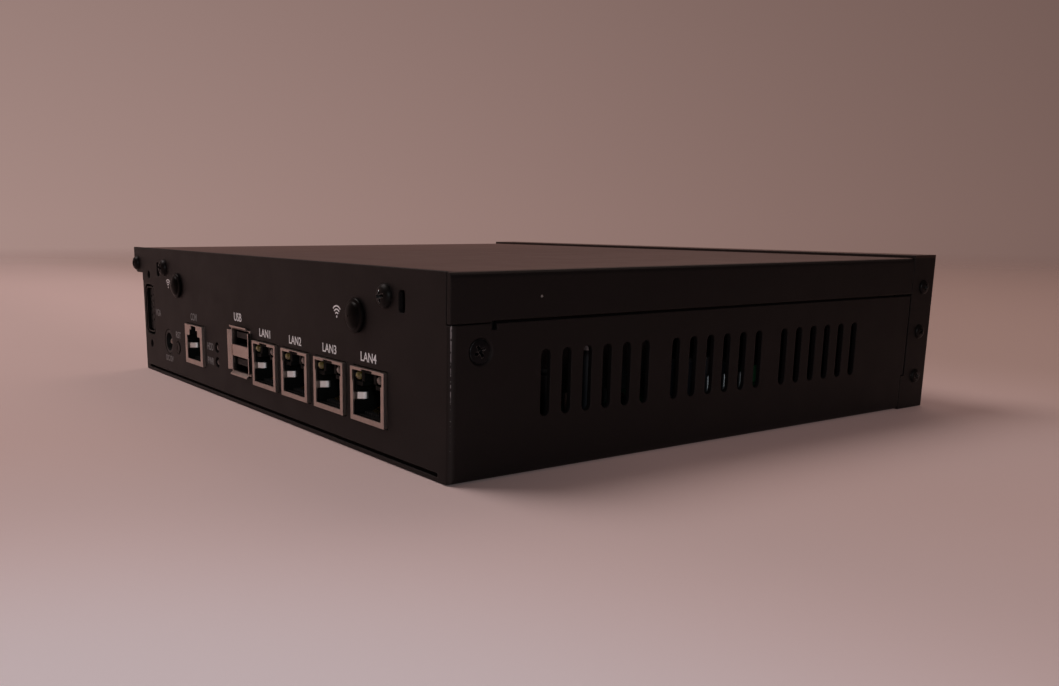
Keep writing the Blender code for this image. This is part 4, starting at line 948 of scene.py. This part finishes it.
def make_board_detail():
    """Packages, magnetics, coils and small parts that show dimly through the vents."""
    low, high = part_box("mainboard")
    top = high.z
    chips = bmesh.new()
    for number in range(1, NETWORK_JACKS + 1):
        jack_low, jack_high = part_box(f"lan{number}_shield")
        x = (jack_low.x + jack_high.x) / 2
        y = jack_high.y + 9 * MM
        add_chip(chips, x, y, top, (12 * MM, 7 * MM), 2.2 * MM, 12, 0.9 * MM)
    add_chip(chips, -52 * MM, -45 * MM, top, (9 * MM, 9 * MM), 1.2 * MM, 11, 0.7 * MM)
    add_chip(chips, -22 * MM, -40 * MM, top, (7 * MM, 5 * MM), 1.4 * MM, 6, 1.0 * MM)
    add_chip(chips, -10 * MM, -22 * MM, top, (10 * MM, 10 * MM), 1.1 * MM, 12, 0.7 * MM)
    add_chip(chips, 72 * MM, -40 * MM, top, (5 * MM, 4 * MM), 1.4 * MM, 4, 1.1 * MM)
    piece("board_chips", chips, ["chip", "tin"])

    coils = bmesh.new()
    half = 3.4 * MM
    for x, y in ((72, 24), (72, -22), (-72, 6), (-72, -6)):
        x, y = x * MM, y * MM
        faces = add_box(coils, (x - half, y - half, top + 0.1 * MM), (x + half, y + half, top + 4 * MM))
        edges = list({edge for face in faces for edge in face.edges})
        bmesh.ops.bevel(coils, geom=edges, offset=0.5 * MM, segments=2, affect="EDGES")
    piece("board_coils", coils, "ferrite")

    random.seed(5)
    small = bmesh.new()
    placed = 0
    margin = 2.5 * MM
    taken = [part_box(node) for node in ("heatsink", "memory_card", "storage_card", "coin_cell")]
    taken += [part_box(f"capacitor_{number}") for number in (1, 2, 3)]
    while placed < 90:
        x = random.uniform(low.x + 6 * MM, high.x - 4 * MM)
        y = random.uniform(-66 * MM, high.y - 4 * MM)
        blocked = any(
            a.x - margin < x < b.x + margin and a.y - margin < y < b.y + margin
            for a, b in taken
        )
        turned = random.random() < 0.5
        if blocked:
            continue
        placed += 1
        long, wide, tall = 1.1 * MM, 0.65 * MM, random.choice((0.5, 0.8)) * MM
        dx, dy = (wide, long) if turned else (long, wide)
        add_box(small, (x - dx, y - dy, top + 0.02 * MM), (x + dx, y + dy, top + tall))
        for side in (-1, 1):
            cx, cy = (0.0, side * (long - 0.15 * MM)) if turned else (side * (long - 0.15 * MM), 0.0)
            hx, hy = (wide + 0.02 * MM, 0.2 * MM) if turned else (0.2 * MM, wide + 0.02 * MM)
            end_low = (x + cx - hx, y + cy - hy, top + 0.01 * MM)
            end_high = (x + cx + hx, y + cy + hy, top + tall + 0.03 * MM)
            for face in add_box(small, end_low, end_high):
                face.material_index = 1
    piece("board_small_parts", small, ["ceramic", "tin"])

    cans = bmesh.new()
    for x, y, radius, tall in (
        (76, -44, 3.1, 8),
        (84, -34.5, 3.1, 17.6),
        (78, 26, 3.1, 8),
        (-80, -46, 2.5, 7),
        (-80, -14, 3.1, 8),
    ):
        place = Matrix.Translation((x * MM, y * MM, top + 0.1 * MM))
        r, t = radius * MM, tall * MM
        profile = [(0.0, 0.0), (r, 0.0), (r, 0.9 * MM), (r - 0.25 * MM, 1.2 * MM), (r, 1.5 * MM)]
        profile += [(r, t - 0.3 * MM), (r - 0.3 * MM, t), (r - 0.6 * MM, t - 0.1 * MM), (0.0, t - 0.1 * MM)]
        add_turned(cans, profile, 32, place)
    piece("board_cans", cans, "can")

    places = [(-60 + i * 2.54, 34 + row * 2.54) for row in range(2) for i in range(10)]
    add_header("board_header", places, top, 2.5 * MM, 8.4 * MM, 0.42 * MM, "gold")
    places = [(90.5, -46.8), (90.5, 2.7), (90.5, 9.1), (90.5, 15.6)]
    add_header("vent_header", places, top, 3.1 * MM, 7.6 * MM, 0.6 * MM, "post")

    clips = bmesh.new()
    sink_low, sink_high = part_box("heatsink")
    for x in (sink_low.x + 3.4 * MM, sink_high.x - 3.4 * MM):
        for y in (sink_low.y + 4 * MM, sink_high.y - 4 * MM):
            place = Matrix.Translation((x, y, sink_low.z + 4.05 * MM))
            profile = [(0.0, 3.4 * MM), (1.5 * MM, 3.3 * MM), (1.7 * MM, 2.9 * MM), (1.7 * MM, 2.3 * MM)]
            profile += [(0.9 * MM, 2.3 * MM), (0.9 * MM, 0.0), (0.0, 0.0)]
            add_turned(clips, profile, 24, place)
    piece("heatsink_pins", clips, "tin")


# ---------------------------------------------------------------- finishes on the CAD nodes


def dress(names, mat):
    for name in names:
        node = nodes[name]
        node.data.materials.clear()
        node.data.materials.append(looks[mat].material)


def make_finishes():
    dress(["chassis"], "chassis")
    dress(["top_cover"], "cover")
    dress(["front_bezel"], "bezel")
    dress([f"{jack}_shield" for jack in MODULAR_JACKS], "nickel")
    dress([f"{jack}_insert" for jack in MODULAR_JACKS], "socket")
    dress(["usb_shell"], "usb")
    dress(["usb_insulator", "dc_jack_body", "vga_insert", "switch_body"], "plastic")
    dress(["vga_shell"], "vga")
    dress(["mainboard", "memory_card", "storage_card"], "board")
    dress(["heatsink"], "aluminium")
    dress([f"capacitor_{i}" for i in (1, 2, 3)], "can")
    dress([f"standoff_{i}" for i in (1, 2, 3, 4)], "brass")
    dress([f"board_screw_{i}" for i in (1, 2, 3, 4)] + ["coin_cell"], "zinc")


# ---------------------------------------------------------------- stage


def make_floor():
    """A plain pale floor that fades into the background far off, with painted light: a paler pool near the
    camera, a glow beside the case that lifts its shadow, and painted shade towards +Y.
    """
    bm = bmesh.new()
    bmesh.ops.create_circle(bm, cap_ends=True, segments=96, radius=6.0)
    mesh = bpy.data.meshes.new("floor")
    bm.to_mesh(mesh)
    bm.free()
    floor = bpy.data.objects.new("floor", mesh)
    floor.location = (0.0, 0.0, -0.0002)
    scene.collection.objects.link(floor)
    look = Look("floor_paper", FLOOR_COLOR, 0.85, specular=0.1)
    look.shade(look.noise(260 * MM, 3.0), 0.97, 1.03)
    # Painted shade: the floor turns darker and warmer towards +Y.
    look.tint(look.spread(look.axes()[1], 0.03, 0.22, smooth=True), FLOOR_SHADE_COLOR)
    look.bump(look.noise(1.5 * MM, 3.0), 0.03 * MM)
    # Painted pool of light: a paler, cooler floor round a spot near the camera.
    near = look.vector("DISTANCE", look.place, FLOOR_LIGHT_POOL_AT).outputs["Value"]
    look.tint(look.spread(near, 0.04, 0.26, 1.0, 0.0, smooth=True), FLOOR_LIGHT_POOL_COLOR)
    # Painted light: the floor glows, warm beside the +X side where it lifts the case's shadow, and cool in
    # the pool near the camera.
    x, y, _ = look.axes()
    shadow_lift_x = look.spread(x, 0.105, 0.15, 1.0, 0.0)
    shadow_lift = look.math("MULTIPLY", shadow_lift_x, look.spread(y, -0.09, -0.03, 0.0, 1.0))
    light_pool_glow = look.spread(near, 0.11, 0.20, 1.0, 0.0, smooth=True)
    painted_glow = look.math("ADD", look.math("MULTIPLY", shadow_lift, 0.042), look.math("MULTIPLY", light_pool_glow, 0.092))
    warm_to_cool = look.add("ShaderNodeMix", data_type="RGBA")
    look.put(warm_to_cool.inputs[0], light_pool_glow)
    look.put(warm_to_cool.inputs[6], WARM_GLOW)
    look.put(warm_to_cool.inputs[7], COOL_GLOW)
    look.put(look.shader.inputs["Emission Color"], warm_to_cool.outputs[2])
    look.put(look.shader.inputs["Emission Strength"], painted_glow)
    far = look.vector("LENGTH", look.place).outputs["Value"]
    fade = look.spread(far, 0.22, 1.9, 0.0, 1.0, smooth=True)
    clear = look.add("ShaderNodeBsdfTransparent")
    mix = look.add("ShaderNodeMixShader", {0: fade, 1: look.shader.outputs[0], 2: clear.outputs[0]})
    output = [n for n in look.nodes if n.type == "OUTPUT_MATERIAL"][0]
    look.put(output.inputs["Surface"], mix.outputs[0])
    mesh.materials.append(look.material)


def make_world():
    """Soft warm light all round, brighter from the -X side and dim towards +X and +Y."""
    world = bpy.data.worlds.new("studio")
    world.use_nodes = True
    scene.world = world
    tree = world.node_tree
    tree.nodes.clear()
    place = tree.nodes.new("ShaderNodeTexCoord").outputs["Generated"]

    def chain(kind, inputs, **settings):
        node = tree.nodes.new(kind)
        for key, value in settings.items():
            setattr(node, key, value)
        for key, value in inputs.items():
            if isinstance(value, bpy.types.NodeSocket):
                tree.links.new(value, node.inputs[key])
            else:
                node.inputs[key].default_value = value
        return node.outputs

    def spread(value, low, high, to_low, to_high):
        inputs = {"Value": value, "From Min": low, "From Max": high, "To Min": to_low, "To Max": to_high}
        return chain("ShaderNodeMapRange", inputs)[0]

    def product(a, b):
        return chain("ShaderNodeMath", {0: a, 1: b}, operation="MULTIPLY")[0]

    pole = chain("ShaderNodeVectorMath", {0: place, 1: BRIGHT_POLE}, operation="DOT_PRODUCT")["Value"]
    side = spread(pole, -1.0, 1.0, 0.0, 1.0)
    axes = chain("ShaderNodeSeparateXYZ", {0: place})
    upper = spread(axes[2], 0.0, 0.5, 1.0, 0.62)
    behind_camera = spread(axes[1], -0.7, -0.2, 0.5, 1.0)
    strength = product(product(spread(side, 0.0, 1.0, 0.02, 0.43), upper), behind_camera)
    tones = {0: side, 6: (1.0, 0.575, 0.475, 1.0), 7: (1.0, 0.68, 0.62, 1.0)}
    tone = chain("ShaderNodeMix", tones, data_type="RGBA")[2]
    background = chain("ShaderNodeBackground", {"Color": tone, "Strength": strength})[0]
    chain("ShaderNodeOutputWorld", {"Surface": background})


def area_light(name, at, target, size, power, color):
    light = bpy.data.lights.new(name, "AREA")
    light.shape = "DISK"
    light.size = size
    light.energy = power
    light.color = color
    obj = bpy.data.objects.new(name, light)
    obj.location = at
    obj.rotation_euler = (Vector(target) - Vector(at)).to_track_quat("-Z", "Y").to_euler()
    scene.collection.objects.link(obj)


def make_lights():
    area_light("key", (-0.60, -0.45, 1.15), (0.05, -0.05, 0.0), 0.8, 6.5, (1.0, 0.88, 0.86))
    area_light("fill", (-0.5, 0.9, 1.1), (0.0, 0.0, 0.0), 0.9, 2.0, (1.0, 0.78, 0.70))
    area_light("glint", (1.05, -0.56, 0.34), (0.05, -0.09, 0.02), 0.12, 2.2, (0.90, 0.95, 1.0))


def make_camera():
    data = bpy.data.cameras.new("camera")
    data.sensor_width = 36.0
    data.lens = CAMERA_LENS
    data.shift_x, data.shift_y = CAMERA_SHIFT
    data.clip_start = 0.005
    camera = bpy.data.objects.new("camera", data)
    camera.location = CAMERA_AT
    camera.rotation_euler = CAMERA_TURN
    scene.collection.objects.link(camera)
    scene.camera = camera


make_finishes()
make_screws()
make_plugs()
make_button()
make_lamps()
make_dc_jack()
make_jack_contacts()
make_jack_springs()
make_jack_lights()
make_usb_contacts()
make_marks()
make_board_detail()
make_floor()
make_world()
make_lights()
make_camera()
scene.view_settings.view_transform = "Standard"
scene.cycles.use_denoising = True
